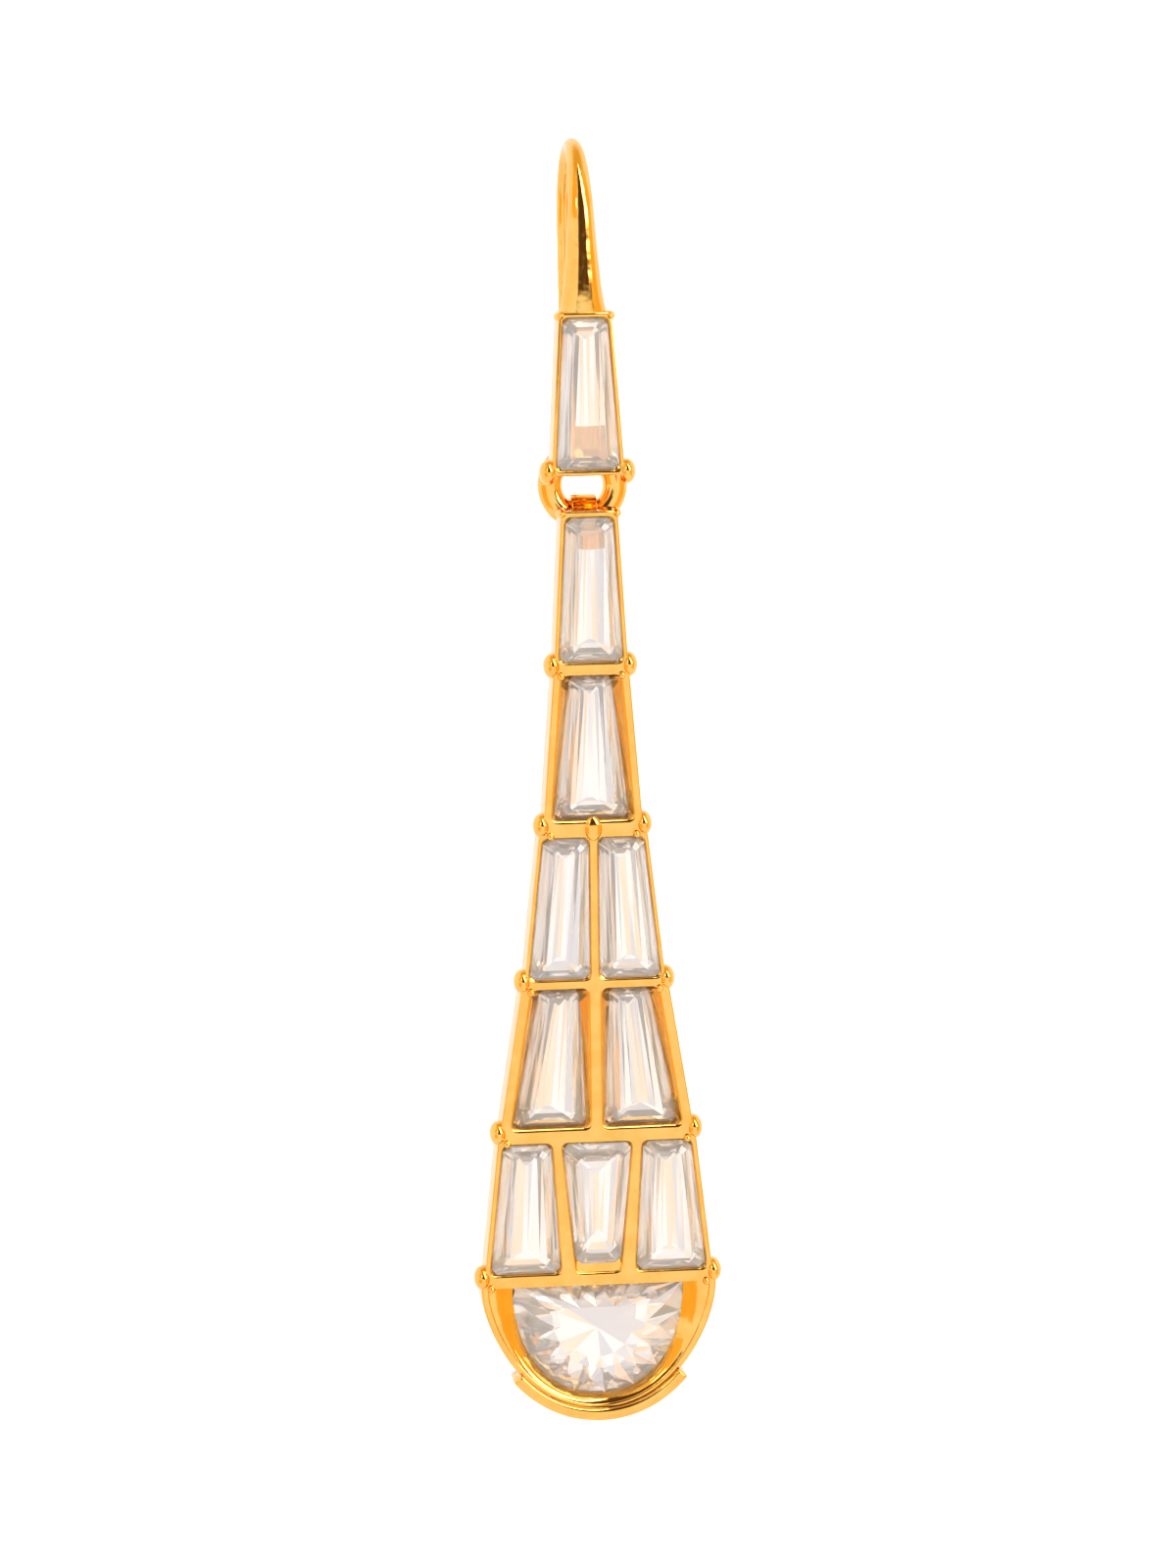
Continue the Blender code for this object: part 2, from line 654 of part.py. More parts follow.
def half_moon(parts, pivot, cutters, z_cup):
    """The half-moon stone, and the cutter of the cup that holds it."""
    points = moon_points(MOON_WIDTH, MOON_HEIGHT, MOON_SIDE, MOON_SWEEP)
    hole = moon_points(
        MOON_WIDTH + 2 * STONE_GAP, MOON_HEIGHT + 2 * STONE_GAP, MOON_SIDE, MOON_SWEEP
    )
    ledge = moon_points(MOON_WIDTH - 2 * LEDGE, MOON_HEIGHT - 2 * LEDGE, MOON_SIDE, MOON_SWEEP)
    mouth = moon_points(CUP_WIDTH - 2 * CUP_RIM, CUP_HEIGHT - CUP_RIM, CUP_SIDE, CUP_SWEEP)
    girdle_front = FACE + GIRDLE_SET + RECESS
    girdle_back = girdle_front + GIRDLE
    seat = girdle_back + SEAT_SHARE * MOON_PAVILION
    z_stone = z_cup - STONE_GAP
    rings = [
        moon_ring(mouth, z_cup, FACE - CUT_PAST),
        moon_ring(mouth, z_cup, MOUTH),
        moon_ring(hole, z_cup, girdle_front),
        moon_ring(hole, z_cup, seat),
        moon_ring(ledge, z_stone - LEDGE, seat),
        moon_ring(ledge, z_stone - LEDGE, BACK + CUT_PAST),
    ]
    add_loft(cutters, rings)

    rings = []
    for step in MOON_CROWN_STEPS:
        y = girdle_front - MOON_CROWN * step.level
        rings.append(moon_ring(points, z_stone, y, step.inset, MOON_HEIGHT))
    rings.append(moon_ring(points, z_stone, girdle_front))
    rings.append(moon_ring(points, z_stone, girdle_back))
    for step in MOON_PAVILION_STEPS:
        y = girdle_back + MOON_PAVILION * step.level
        rings.append(moon_ring(points, z_stone, y, step.inset, MOON_HEIGHT))
    bm = bmesh.new()
    add_loft(bm, rings)
    stone = add_object("stone_half_moon", bm, parts, pivot)
    stone.data.materials.append(gold_or_stone("stone_half_moon_crystal", CRYSTAL, 0.0, 0.03))


def lip(tools, pivot, z_cup):
    """The crescent lip that wraps the tip of the cup and stands proud of its face."""
    half = CUP_WIDTH / 2
    path = []
    for i in range(CURVE_STEPS + 1):
        t = LIP_START + (1 - LIP_START) * i / CURVE_STEPS
        path.append(moon_side_point(half, CUP_HEIGHT, CUP_SIDE, LIP_SWEEP, t))
    path += [(-x, z) for x, z in reversed(path[:-1])]
    front = FACE - LIP_RISE
    back = BACK - LIP_BACK
    chamfer = LIP_CHAMFER
    section = [
        (-LIP_LAP, front + chamfer),
        (-LIP_LAP + chamfer, front),
        (LIP_STAND - chamfer, front),
        (LIP_STAND, front + chamfer),
        (LIP_STAND, back - chamfer),
        (LIP_STAND - chamfer, back),
        (-LIP_LAP, back),
    ]
    path = [Vector((x, 0, z_cup + z)) for x, z in path]
    rings = []
    for i, point in enumerate(path):
        run = path[min(i + 1, len(path) - 1)] - path[max(i - 1, 0)]
        out = Vector((-run.z, 0, run.x)).normalized()
        rings.append([point + out * stand + Vector((0, y, 0)) for stand, y in section])
    bm = bmesh.new()
    add_loft(bm, rings)
    return add_object("lip_crescent", bm, tools, pivot)


def main():
    for obj in list(bpy.data.objects):
        bpy.data.objects.remove(obj)
    parts = new_collection("chandelier_earring")
    tools = new_collection("cutters")

    ear_piece(parts, tools)
    ring_pivot = bpy.data.objects.new("ring_pivot", None)
    parts.objects.link(ring_pivot)
    ring_pivot.location = (0, RING_Y, RING_Z)
    link_ring(parts, ring_pivot)

    drop_pivot = bpy.data.objects.new("drop_pivot", None)
    parts.objects.link(drop_pivot)
    drop_pivot.parent = ring_pivot
    drop_pivot.location = (0, 0, -RING_RADIUS)
    drop_pivot.rotation_euler = (DROP_LEAN, 0, 0)
    drop_middle = bpy.data.objects.new("drop_middle", None)
    parts.objects.link(drop_middle)
    drop_middle.parent = drop_pivot
    drop_middle.location = (0, -RING_SET_BACK, 0)
    drop(parts, tools, drop_middle)
    bpy.context.view_layer.update()


main()
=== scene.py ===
# %% [markdown]
# # A chandelier drop earring, seen as a jeweller would show it
#
# The measured model of the earring gives every solid and every joint. This script keeps that
# model as its frame and gives it its looks: polished gold with soft rims, clear step-cut
# stones, a half-moon stone with many small facets, and the light of a white studio.
# We start by loading the frame and keeping the size of its box, which aims the camera and sets the
# floor's height.

# %% Load the frame
from collections import namedtuple
from math import atan2, cos, pi, radians, sin, sqrt

import bmesh
import bpy
from mathutils import Matrix, Vector
from mathutils.geometry import tessellate_polygon


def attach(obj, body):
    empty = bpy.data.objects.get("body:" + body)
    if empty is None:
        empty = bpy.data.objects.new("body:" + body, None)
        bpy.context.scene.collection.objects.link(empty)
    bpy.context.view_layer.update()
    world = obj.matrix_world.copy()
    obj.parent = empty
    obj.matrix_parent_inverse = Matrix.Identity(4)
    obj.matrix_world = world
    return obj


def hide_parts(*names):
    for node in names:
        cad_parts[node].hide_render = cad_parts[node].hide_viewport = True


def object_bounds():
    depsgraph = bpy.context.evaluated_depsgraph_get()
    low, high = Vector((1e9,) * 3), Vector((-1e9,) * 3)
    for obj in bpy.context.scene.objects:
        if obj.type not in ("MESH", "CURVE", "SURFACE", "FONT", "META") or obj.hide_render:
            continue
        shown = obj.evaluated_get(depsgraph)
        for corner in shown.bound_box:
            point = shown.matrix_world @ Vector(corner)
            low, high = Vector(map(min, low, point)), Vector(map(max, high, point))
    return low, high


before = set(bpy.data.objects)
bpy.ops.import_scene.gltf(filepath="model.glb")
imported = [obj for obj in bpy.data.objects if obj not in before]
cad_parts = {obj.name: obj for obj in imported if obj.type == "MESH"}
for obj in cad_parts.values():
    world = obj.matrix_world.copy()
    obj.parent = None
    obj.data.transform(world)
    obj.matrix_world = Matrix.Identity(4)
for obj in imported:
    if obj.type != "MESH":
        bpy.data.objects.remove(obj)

cad_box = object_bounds()
scene = bpy.context.scene

# %% [markdown]
# ## Camera
#
# The earring is seen almost square on, a little from its left and from slightly above, from
# about a forearm's length away. A near camera shows more of the walls low down than of those
# at the top, so the distance matters as much as the angle. A long lens then fills the frame.

# %% Camera
CAMERA_AZIMUTH = radians(-6.5)
CAMERA_ELEVATION = radians(4.5)
CAMERA_DISTANCE = 0.27
CAMERA_ROLL = radians(-1.2)
CAMERA_LENS = 131
TARGET_FORWARD = 0.0015


def way_to(compass, height):
    """The direction of a place round the earring, its front being at 0."""
    return Vector((
        sin(compass) * cos(height),
        -cos(compass) * cos(height),
        sin(height),
    ))


low, high = (Vector(corner) for corner in cad_box)
middle = (low + high) / 2
target = Vector((0, middle.y - TARGET_FORWARD, middle.z))
camera_data = bpy.data.cameras.new("camera")
camera_data.lens = CAMERA_LENS
camera_data.clip_start = 0.01
camera_data.clip_end = 10
camera = bpy.data.objects.new("camera", camera_data)
scene.collection.objects.link(camera)
back = way_to(CAMERA_AZIMUTH, CAMERA_ELEVATION)
camera.location = target + back * CAMERA_DISTANCE
aim = (-back).to_track_quat("-Z", "Y").to_matrix() @ Matrix.Rotation(CAMERA_ROLL, 3, "Z")
camera.rotation_euler = aim.to_euler()
scene.camera = camera
scene.view_settings.view_transform = "Standard"
print("camera at", [round(v, 4) for v in camera.location])

# %% [markdown]
# ## Backdrop
#
# Small shiny things are shown in front of a seamless white sweep, so that no horizon cuts
# through them. Here the sweep is a shallow bowl, a floor that turns up into a wall all the way
# round, spun from one profile. It is kept out of the reflections, which come from the light.

# %% Backdrop
FLOOR_DROP = 0.07
FLOOR_RADIUS = 0.55
SWEEP_RADIUS = 0.30
SWEEP_STEPS = 12
WALL_HEIGHT = 1.2
FLOOR_START = 0.05
BACKDROP_SIDES = 96
PAPER_WHITE = (0.965, 0.96, 0.95, 1)
PAPER_ROUGHNESS = 0.9


def backdrop_profile():
    """Distance from the middle and height of the sweep, from the floor up to the rim."""
    points = [(FLOOR_START, 0.0), (FLOOR_RADIUS, 0.0)]
    for i in range(1, SWEEP_STEPS + 1):
        turn = pi / 2 * i / SWEEP_STEPS
        out = FLOOR_RADIUS + SWEEP_RADIUS * sin(turn)
        points.append((out, SWEEP_RADIUS * (1 - cos(turn))))
    points.append((FLOOR_RADIUS + SWEEP_RADIUS, WALL_HEIGHT))
    return points


def spun_sheet(name, profile, floor_z, sides):
    """A sheet spun round the upright axis, closed in its middle, faces inwards and up."""
    bm = bmesh.new()
    rings = []
    for out, up in profile:
        ring = []
        for i in range(sides):
            angle = 2 * pi * i / sides
            spot = (out * cos(angle), out * sin(angle), floor_z + up)
            ring.append(bm.verts.new(spot))
        rings.append(ring)
    bm.faces.new(rings[0])
    for near, far in zip(rings, rings[1:]):
        for i in range(sides):
            j = (i + 1) % sides
            bm.faces.new((near[i], far[i], far[j], near[j]))
    for face in bm.faces:
        face.smooth = True
    mesh = bpy.data.meshes.new(name)
    bm.to_mesh(mesh)
    bm.free()
    obj = bpy.data.objects.new(name, mesh)
    scene.collection.objects.link(obj)
    return obj


backdrop = spun_sheet("backdrop", backdrop_profile(), low.z - FLOOR_DROP, BACKDROP_SIDES)
paper = bpy.data.materials.new("white_paper")
paper.use_nodes = True
paper_sockets = paper.node_tree.nodes["Principled BSDF"].inputs
paper_sockets["Base Color"].default_value = PAPER_WHITE
paper_sockets["Roughness"].default_value = PAPER_ROUGHNESS
backdrop.data.materials.append(paper)
backdrop.visible_glossy = False
backdrop.visible_transmission = False
backdrop.visible_shadow = False
print("backdrop faces:", len(backdrop.data.polygons))

# %% [markdown]
# ## Studio light
#
# Polished gold has no look of its own: it shows what stands round it. The walls and the table
# are white. In front, from just above the table up to overhead, it is dark, where the camera
# and the photographer stand. The hook's rounded front shows that place as a brown stripe,
# and the flat faces, which look slightly down, show the white table. A leaning strip light
# beside the dark place draws the white streak next to that stripe, and a low panel on the left
# lights one side of the cup. Gold cards at both sides and a gold ceiling deepen every slope
# that faces sideways or up, as its neighbours do when gold looks at gold. A world shader can
# say all this with the direction of each ray alone, worked out as a compass angle and a height.
#
# Light that has passed a stone meets soft patches of white, peach and grey instead, because a
# real stone gathers its light from many more bounces, off gold and off white, than are
# followed here. Each facet points at another patch. Paper gets plain white light.

# %% Room light
ROOM_STRENGTH = 1.06
WALL_WHITE = (1.0, 0.985, 0.965, 1)
CEILING = (0.76, 0.49, 0.09, 1)
CEILING_FROM = radians(38)
CEILING_TO = radians(72)
TABLE = (0.95, 0.94, 0.93, 1)
TABLE_FROM = radians(-8)
TABLE_TO = radians(-20)
DARK_PLACE = (0.09, 0.05, 0.02, 1)
DARK_FROM = radians(-27)
DARK_TO = radians(43)
DARK_FADE = radians(7)
DARK_LOW = radians(2)
DARK_LOW_FADE = radians(5)
SIDE_CARD = (0.95, 0.62, 0.13, 1)
CARD_FROM = radians(44)
CARD_TO = radians(88)
CARD_LOW = radians(-32)
CARD_HIGH = radians(52)
CARD_FADE = radians(8)
PANEL_COMPASS = radians(-40)
PANEL_LOW = radians(1)
PANEL_HIGH = radians(9)
PANEL_FADE = radians(3)
STRIP = (6.0, 5.9, 5.7, 1)
STRIP_LEAN = 0.4
STRIP_FROM = radians(40)
STRIP_TO = radians(60)
STRIP_LOW = radians(13)
STRIP_HIGH = radians(84)
STRIP_FADE = radians(6)
STONE_LIGHT = (0.97, 0.92, 0.88, 1)
STONE_PEACH = (1.10, 0.60, 0.27, 1)
STONE_GREY = (0.50, 0.45, 0.50, 1)
STONE_PATCH = 12.0
PEACH_FROM = 0.52
PEACH_TO = 0.59
GREY_FROM = 0.46
GREY_TO = 0.40
STONE_SHARE = 0.75


def set_input(node, socket, value):
    """Give one input of a node its value."""
    node.inputs[socket].default_value = value


class Wiring:
    """Adds nodes to one tree and joins them, so that a shader reads top to bottom."""

    def __init__(self, tree):
        self.tree = tree

    def node(self, kind, **settings):
        made = self.tree.nodes.new(kind)
        for name, value in settings.items():
            setattr(made, name, value)
        return made

    def join(self, source, socket):
        self.tree.links.new(source, socket)

    def math(self, operation, first, second=None):
        made = self.node("ShaderNodeMath", operation=operation)
        for value, socket in zip((first, second), made.inputs):
            if isinstance(value, (int, float)):
                socket.default_value = value
            elif value is not None:
                self.join(value, socket)
        return made.outputs[0]

    def ease(self, value, start, end):
        """0 up to start, 1 from end on, and a soft step between."""
        made = self.node("ShaderNodeMapRange", interpolation_type="SMOOTHSTEP")
        self.join(value, made.inputs["Value"])
        set_input(made, "From Min", start)
        set_input(made, "From Max", end)
        return made.outputs["Result"]

    def within(self, value, start, end, fade):
        """1 between two values, and 0 beyond a soft step on either side."""
        rising = self.ease(value, start - fade, start)
        return self.math("MULTIPLY", rising, self.ease(value, end + fade, end))

    def blend(self, share, first, second):
        """A colour between two, each a colour or a socket."""
        made = self.node("ShaderNodeMix", data_type="RGBA")
        self.join(share, made.inputs[0])
        for value, socket in ((first, made.inputs[6]), (second, made.inputs[7])):
            if isinstance(value, tuple):
                socket.default_value = value
            else:
                self.join(value, socket)
        return made.outputs[2]


world = bpy.data.worlds.new("white_studio")
world.use_nodes = True
scene.world = world
room = Wiring(world.node_tree)
direction = room.node("ShaderNodeTexCoord").outputs["Generated"]
parts_of = room.node("ShaderNodeSeparateXYZ")
room.join(direction, parts_of.inputs[0])
toward_front = room.math("MULTIPLY", parts_of.outputs["Y"], -1.0)
compass = room.math("ARCTAN2", parts_of.outputs["X"], toward_front)
height = room.math("ARCSINE", parts_of.outputs["Z"])
dark = room.math(
    "MINIMUM",
    room.within(compass, DARK_FROM, DARK_TO, DARK_FADE),
    room.ease(height, DARK_LOW, DARK_LOW + DARK_LOW_FADE),
)
card = room.math(
    "MULTIPLY",
    room.within(room.math("ABSOLUTE", compass), CARD_FROM, CARD_TO, CARD_FADE),
    room.within(height, CARD_LOW, CARD_HIGH, CARD_FADE),
)
panel = room.math(
    "MULTIPLY",
    room.ease(compass, PANEL_COMPASS + CARD_FADE, PANEL_COMPASS),
    room.within(height, PANEL_LOW, PANEL_HIGH, PANEL_FADE),
)
leaning = room.math("ADD", compass, room.math("MULTIPLY", height, STRIP_LEAN))
strip = room.math(
    "MULTIPLY",
    room.within(leaning, STRIP_FROM, STRIP_TO, STRIP_FADE),
    room.within(height, STRIP_LOW, STRIP_HIGH, STRIP_FADE),
)
colour = room.blend(room.ease(height, CEILING_FROM, CEILING_TO), WALL_WHITE, CEILING)
for share, shade in (
    (room.ease(height, TABLE_FROM, TABLE_TO), TABLE),
    (card, SIDE_CARD), (panel, WALL_WHITE), (dark, DARK_PLACE), (strip, STRIP),
):
    colour = room.blend(share, colour, shade)
light_path = room.node("ShaderNodeLightPath").outputs
past_stone = room.math("MINIMUM", light_path["Transmission Depth"], 1.0)
patches = room.node("ShaderNodeTexNoise")
set_input(patches, "Scale", STONE_PATCH)
set_input(patches, "Detail", 1.0)
room.join(direction, patches.inputs["Vector"])
peach = room.ease(patches.outputs["Fac"], PEACH_FROM, PEACH_TO)
grey = room.ease(patches.outputs["Fac"], GREY_FROM, GREY_TO)
gathered = room.blend(grey, room.blend(peach, STONE_LIGHT, STONE_PEACH), STONE_GREY)
colour = room.blend(room.math("MULTIPLY", past_stone, STONE_SHARE), colour, gathered)
colour = room.blend(light_path["Is Diffuse Ray"], colour, WALL_WHITE)
background = world.node_tree.nodes["Background"]
room.join(colour, background.inputs["Color"])
set_input(background, "Strength", ROOM_STRENGTH)
print("room light nodes:", len(world.node_tree.nodes))

# %% [markdown]
# A small softbox in front on the left adds what a soft room can't: sharp white glints on the
# beads and the stones. It is hidden from the camera, so only its reflections show.

# %% Softbox
SOFTBOX_COMPASS = radians(-46)
SOFTBOX_HEIGHT = radians(30)
SOFTBOX_AWAY = 0.45
SOFTBOX_WIDE = 0.05
SOFTBOX_TALL = 0.10
SOFTBOX_WATTS = 0.10
SOFTBOX_WHITE = (1.0, 0.98, 0.95)

light = bpy.data.lights.new("softbox_left", "AREA")
light.shape = "RECTANGLE"
light.size = SOFTBOX_WIDE
light.size_y = SOFTBOX_TALL
light.energy = SOFTBOX_WATTS
light.color = SOFTBOX_WHITE
lamp = bpy.data.objects.new("softbox_left", light)
scene.collection.objects.link(lamp)
away = way_to(SOFTBOX_COMPASS, SOFTBOX_HEIGHT)
lamp.location = target + away * SOFTBOX_AWAY
lamp.rotation_euler = away.to_track_quat("Z", "Y").to_euler()
lamp.visible_camera = False
print("softbox at", [round(v, 3) for v in lamp.location])

# %% [markdown]
# ## Polished gold
#
# Gold-plated metal is a mirror with a deep yellow tint, and where gold mirrors gold the tint
# turns orange by itself. Hand polishing leaves it very slightly wavy, with hair-fine scratches
# and spots that are a little duller. Noise on Object coordinates gives each of these at its
# own scale, in lengths of real metal.

# %% Gold finish
GOLD_LIGHT = (1.0, 0.60, 0.165, 1)
GOLD_DEEP = (0.98, 0.54, 0.125, 1)
POLISH_WAVE = 0.0011
WAVE_STRENGTH = 0.45
WAVE_DEPTH = 0.00006
SCRATCH = 0.00009
SCRATCH_SHAPE = (1, 1, 0.12)
SCRATCH_STRENGTH = 0.10
SCRATCH_DEPTH = 0.000002
DULL_FROM = 0.35
DULL_TO = 0.75
POLISHED = 0.05
DULLEST = 0.15
TINT_FROM = 0.35
TINT_TO = 0.65


def finish_tree(name):
    """A new material with its tree, its shader and its object coordinates."""
    material = bpy.data.materials.new(name)
    material.use_nodes = True
    wiring = Wiring(material.node_tree)
    coordinates = wiring.node("ShaderNodeTexCoord").outputs["Object"]
    return material, wiring, material.node_tree.nodes["Principled BSDF"], coordinates


def noise(wiring, coordinates, length, detail=2.0, stretch=(1, 1, 1)):
    """Noise whose features are about the given length in metres."""
    mapping = wiring.node("ShaderNodeMapping")
    set_input(mapping, "Scale", [share / length for share in stretch])
    wiring.join(coordinates, mapping.inputs["Vector"])
    texture = wiring.node("ShaderNodeTexNoise")
    set_input(texture, "Scale", 1.0)
    set_input(texture, "Detail", detail)
    wiring.join(mapping.outputs["Vector"], texture.inputs["Vector"])
    return texture.outputs["Fac"]


def bump(wiring, height, strength, depth, below=None):
    """Waves or scratches in a surface, on top of others."""
    made = wiring.node("ShaderNodeBump")
    set_input(made, "Strength", strength)
    set_input(made, "Distance", depth)
    wiring.join(height, made.inputs["Height"])
    if below is not None:
        wiring.join(below, made.inputs["Normal"])
    return made.outputs["Normal"]


def polished_gold():
    """Yellow metal that mirrors the room, a little wavy and finely scratched."""
    material, wiring, shader, coordinates = finish_tree("polished_gold")
    wave = noise(wiring, coordinates, POLISH_WAVE)
    scratches = noise(wiring, coordinates, SCRATCH, 3.0, SCRATCH_SHAPE)
    tint = wiring.blend(wiring.ease(wave, TINT_FROM, TINT_TO), GOLD_LIGHT, GOLD_DEEP)
    wiring.join(tint, shader.inputs["Base Color"])
    set_input(shader, "Metallic", 1.0)
    duller = wiring.node("ShaderNodeMapRange")
    wiring.join(scratches, duller.inputs["Value"])
    set_input(duller, "From Min", DULL_FROM)
    set_input(duller, "From Max", DULL_TO)
    set_input(duller, "To Min", POLISHED)
    set_input(duller, "To Max", DULLEST)
    wiring.join(duller.outputs["Result"], shader.inputs["Roughness"])
    waves = bump(wiring, wave, WAVE_STRENGTH, WAVE_DEPTH)
    hairs = bump(wiring, scratches, SCRATCH_STRENGTH, SCRATCH_DEPTH, waves)
    wiring.join(hairs, shader.inputs["Normal"])
    return material


gold = polished_gold()
print("gold nodes:", len(gold.node_tree.nodes))

# %% [markdown]
# ## Clear crystal
#
# The stones are colourless and bend light far more than glass, so each facet shows another
# piece of the room or of the gold round it. The shader bends light as strongly. A small dull
# share stands for the light that a real stone gives back after dozens of bounces, and a very
# faint cloud of warm and cool keeps eleven stones from being twins.

# %% Crystal finish
CRYSTAL_INDEX = 1.75
CRYSTAL_CLEAR = 0.84
CRYSTAL_WARM = (1.0, 0.965, 0.93, 1)
CRYSTAL_COOL = (0.965, 0.96, 0.975, 1)
CLOUD = 0.0045


def clear_crystal():
    """A colourless stone that bends light strongly."""
    material, wiring, shader, coordinates = finish_tree("clear_crystal")
    cloud = noise(wiring, coordinates, CLOUD, 1.0)
    tint = wiring.blend(wiring.ease(cloud, TINT_FROM, TINT_TO), CRYSTAL_WARM, CRYSTAL_COOL)
    wiring.join(tint, shader.inputs["Base Color"])
    set_input(shader, "Roughness", 0.0)
    set_input(shader, "IOR", CRYSTAL_INDEX)
    set_input(shader, "Transmission Weight", CRYSTAL_CLEAR)
    return material


crystal = clear_crystal()
print("crystal nodes:", len(crystal.node_tree.nodes))

# %% [markdown]
# ## Sizes and places
#
# The pieces below stand where the measured solids stand, so they use the same sizes, in
# metres. The origin is the inner top of the hook's crown. The drop is drawn flat about its
# pivot, the middle of the link ring's lower wire, and one matrix then leans it as it hangs.

# %% Sizes and places
HOOK_BEND_RADIUS = 0.0036
HOOK_WIRE = 0.0007
HOOK_FALL = 0.00753
HOOK_FOOT_WIDTH = 0.00227
HOOK_FOOT_DEPTH = 0.0018
HOOK_TAIL = 0.0072
HOOK_FLICK_RADIUS = 0.008
HOOK_FLICK_ANGLE = radians(24)
HOOK_FOOT_SINK = 0.00012
TOP_STONE_HEIGHT = 0.00694
TOP_HEAD_WIDTH = 0.0025
TOP_FOOT_WIDTH = 0.00345
TOP_BAR = 0.00025
FRAME_DEPTH = 0.0020
RAIL = 0.0002
DIVIDER = 0.0003
BAR = 0.0005
DROP_HEAD_BAR = 0.0003
LEDGE = 0.00012
RECESS = 0.0005
BAGUETTE_HEIGHT = 0.00676
DROP_WIDTH = 0.0109
CROWN = 0.0004
GIRDLE = 0.00012
PAVILION = 0.0009
GIRDLE_SET = 0.0001
STONE_CORNER = 0.0003
STONE_GAP = 0.00008
KEYSTONE_STEP = 0.0004
SEAT_SHARE = 0.25
RING_RADIUS = 0.00155
RING_WIRE = 0.00115
RING_PLAY = 0.0002
LOOP_PLAY = 0.0001
RING_BELOW_SETTING = 0.00047
DROP_BELOW_RING = 0.00096
DROP_LEAN = radians(4.2)

FACE = -FRAME_DEPTH / 2
BACK = FRAME_DEPTH / 2
FRONT_Y = -HOOK_BEND_RADIUS
CROWN_CENTRE_Z = HOOK_WIRE / 2 - HOOK_BEND_RADIUS
TOP_FOOT_Z = -HOOK_FALL - TOP_STONE_HEIGHT - 2 * STONE_GAP - 2 * TOP_BAR
RING_Z = TOP_FOOT_Z - RING_BELOW_SETTING
RING_SET_BACK = BACK + RING_PLAY + RING_WIRE / 2
RING_Y = FRONT_Y + RING_SET_BACK

ear_place = Matrix.Translation((0, FRONT_Y, 0))
pivot = Matrix.Translation((0, RING_Y, RING_Z - RING_RADIUS))
lean = Matrix.Rotation(DROP_LEAN, 4, "X")
drop_place = pivot @ lean @ Matrix.Translation((0, -RING_SET_BACK, 0))
print("ring centre:", round(RING_Y, 6), round(RING_Z, 6))

# %% [markdown]
# ## Tools for solid metal
#
# Cast and polished metal has no knife edges. Every sheet here is built as rings of points: a
# ring on the face, a few that turn round the rim, one at the wall, and the same at the back.
# Between two rings goes a band of faces, and the face itself is filled between its outer
# ring and the rings of its windows. That gives true rounded rims and open windows without
# any cutting, and the faces stay clean.

# %% Bands, caps and finished pieces
RIM = 0.000095
BACK_RIM = 0.0002
RIM_STEPS = 4
CREASE = radians(38)


def area_of(outline):
    """Twice the signed area inside a flat outline."""
    return sum(a.x * b.y - b.x * a.y for a, b in zip(outline, outline[1:] + outline[:1]))


def inset(outline, distance):
    """A flat outline moved inwards by a distance, or outwards by a negative one."""
    turn = 1 if area_of(outline) > 0 else -1
    moved = []
    for i, point in enumerate(outline):
        arriving = (point - outline[i - 1]).normalized()
        leaving = (outline[(i + 1) % len(outline)] - point).normalized()
        first = Vector((-arriving.y, arriving.x)) * turn
        second = Vector((-leaving.y, leaving.x)) * turn
        moved.append(point + (first + second) * distance / (1 + first.dot(second)))
    return moved


def rim_rings(outline, face, inwards, hole=False, rim=RIM):
    """Rings that turn from a face to a wall: inwards is +1 at the front and -1 at the back."""
    rings = []
    for i in range(RIM_STEPS + 1):
        turn = pi / 2 * i / RIM_STEPS
        aside = rim * (1 - sin(turn))
        depth = face + inwards * rim * (1 - cos(turn))
        rings.append((inset(outline, -aside if hole else aside), depth))
    return rings


def add_band(bm, rings, place):
    """Faces through rings of equally many points. Gives the rows of new points."""
    rows = []
    for outline, depth in rings:
        rows.append([bm.verts.new(place @ Vector((p.x, depth, p.y))) for p in outline])
    for near, far in zip(rows, rows[1:]):
        for i in range(len(near)):
            j = (i + 1) % len(near)
            bm.faces.new((near[i], near[j], far[j], far[i]))
    return rows


def fill_face(bm, rows):
    """Fill the face between an outer row of points and the rows of its windows."""
    loose = [vert for row in rows for vert in row]
    for corners in tessellate_polygon([[vert.co for vert in row] for row in rows]):
        bm.faces.new([loose[i] for i in corners])


def add_sheet(bm, outer, windows, place):
    """A thick sheet with rounded rims and windows, each window a list of rings."""
    rings = rim_rings(outer, FACE, 1) + rim_rings(outer, BACK, -1, rim=BACK_RIM)[::-1]
    rows = [add_band(bm, rings, place)]
    rows += [add_band(bm, window, place) for window in windows]
    fill_face(bm, [row[0] for row in rows])
    fill_face(bm, [row[-1] for row in rows])


def add_tube(bm, rows_of_points, closed=False):
    """Faces through rows of points in space, joined end to end or capped."""
    rows = [[bm.verts.new(point) for point in row] for row in rows_of_points]
    pairs = list(zip(rows, rows[1:]))
    if closed:
        pairs.append((rows[-1], rows[0]))
    for near, far in pairs:
        for i in range(len(near)):
            j = (i + 1) % len(near)
            bm.faces.new((near[i], near[j], far[j], far[i]))
    if not closed:
        bm.faces.new(rows[0])
        bm.faces.new(rows[-1][::-1])


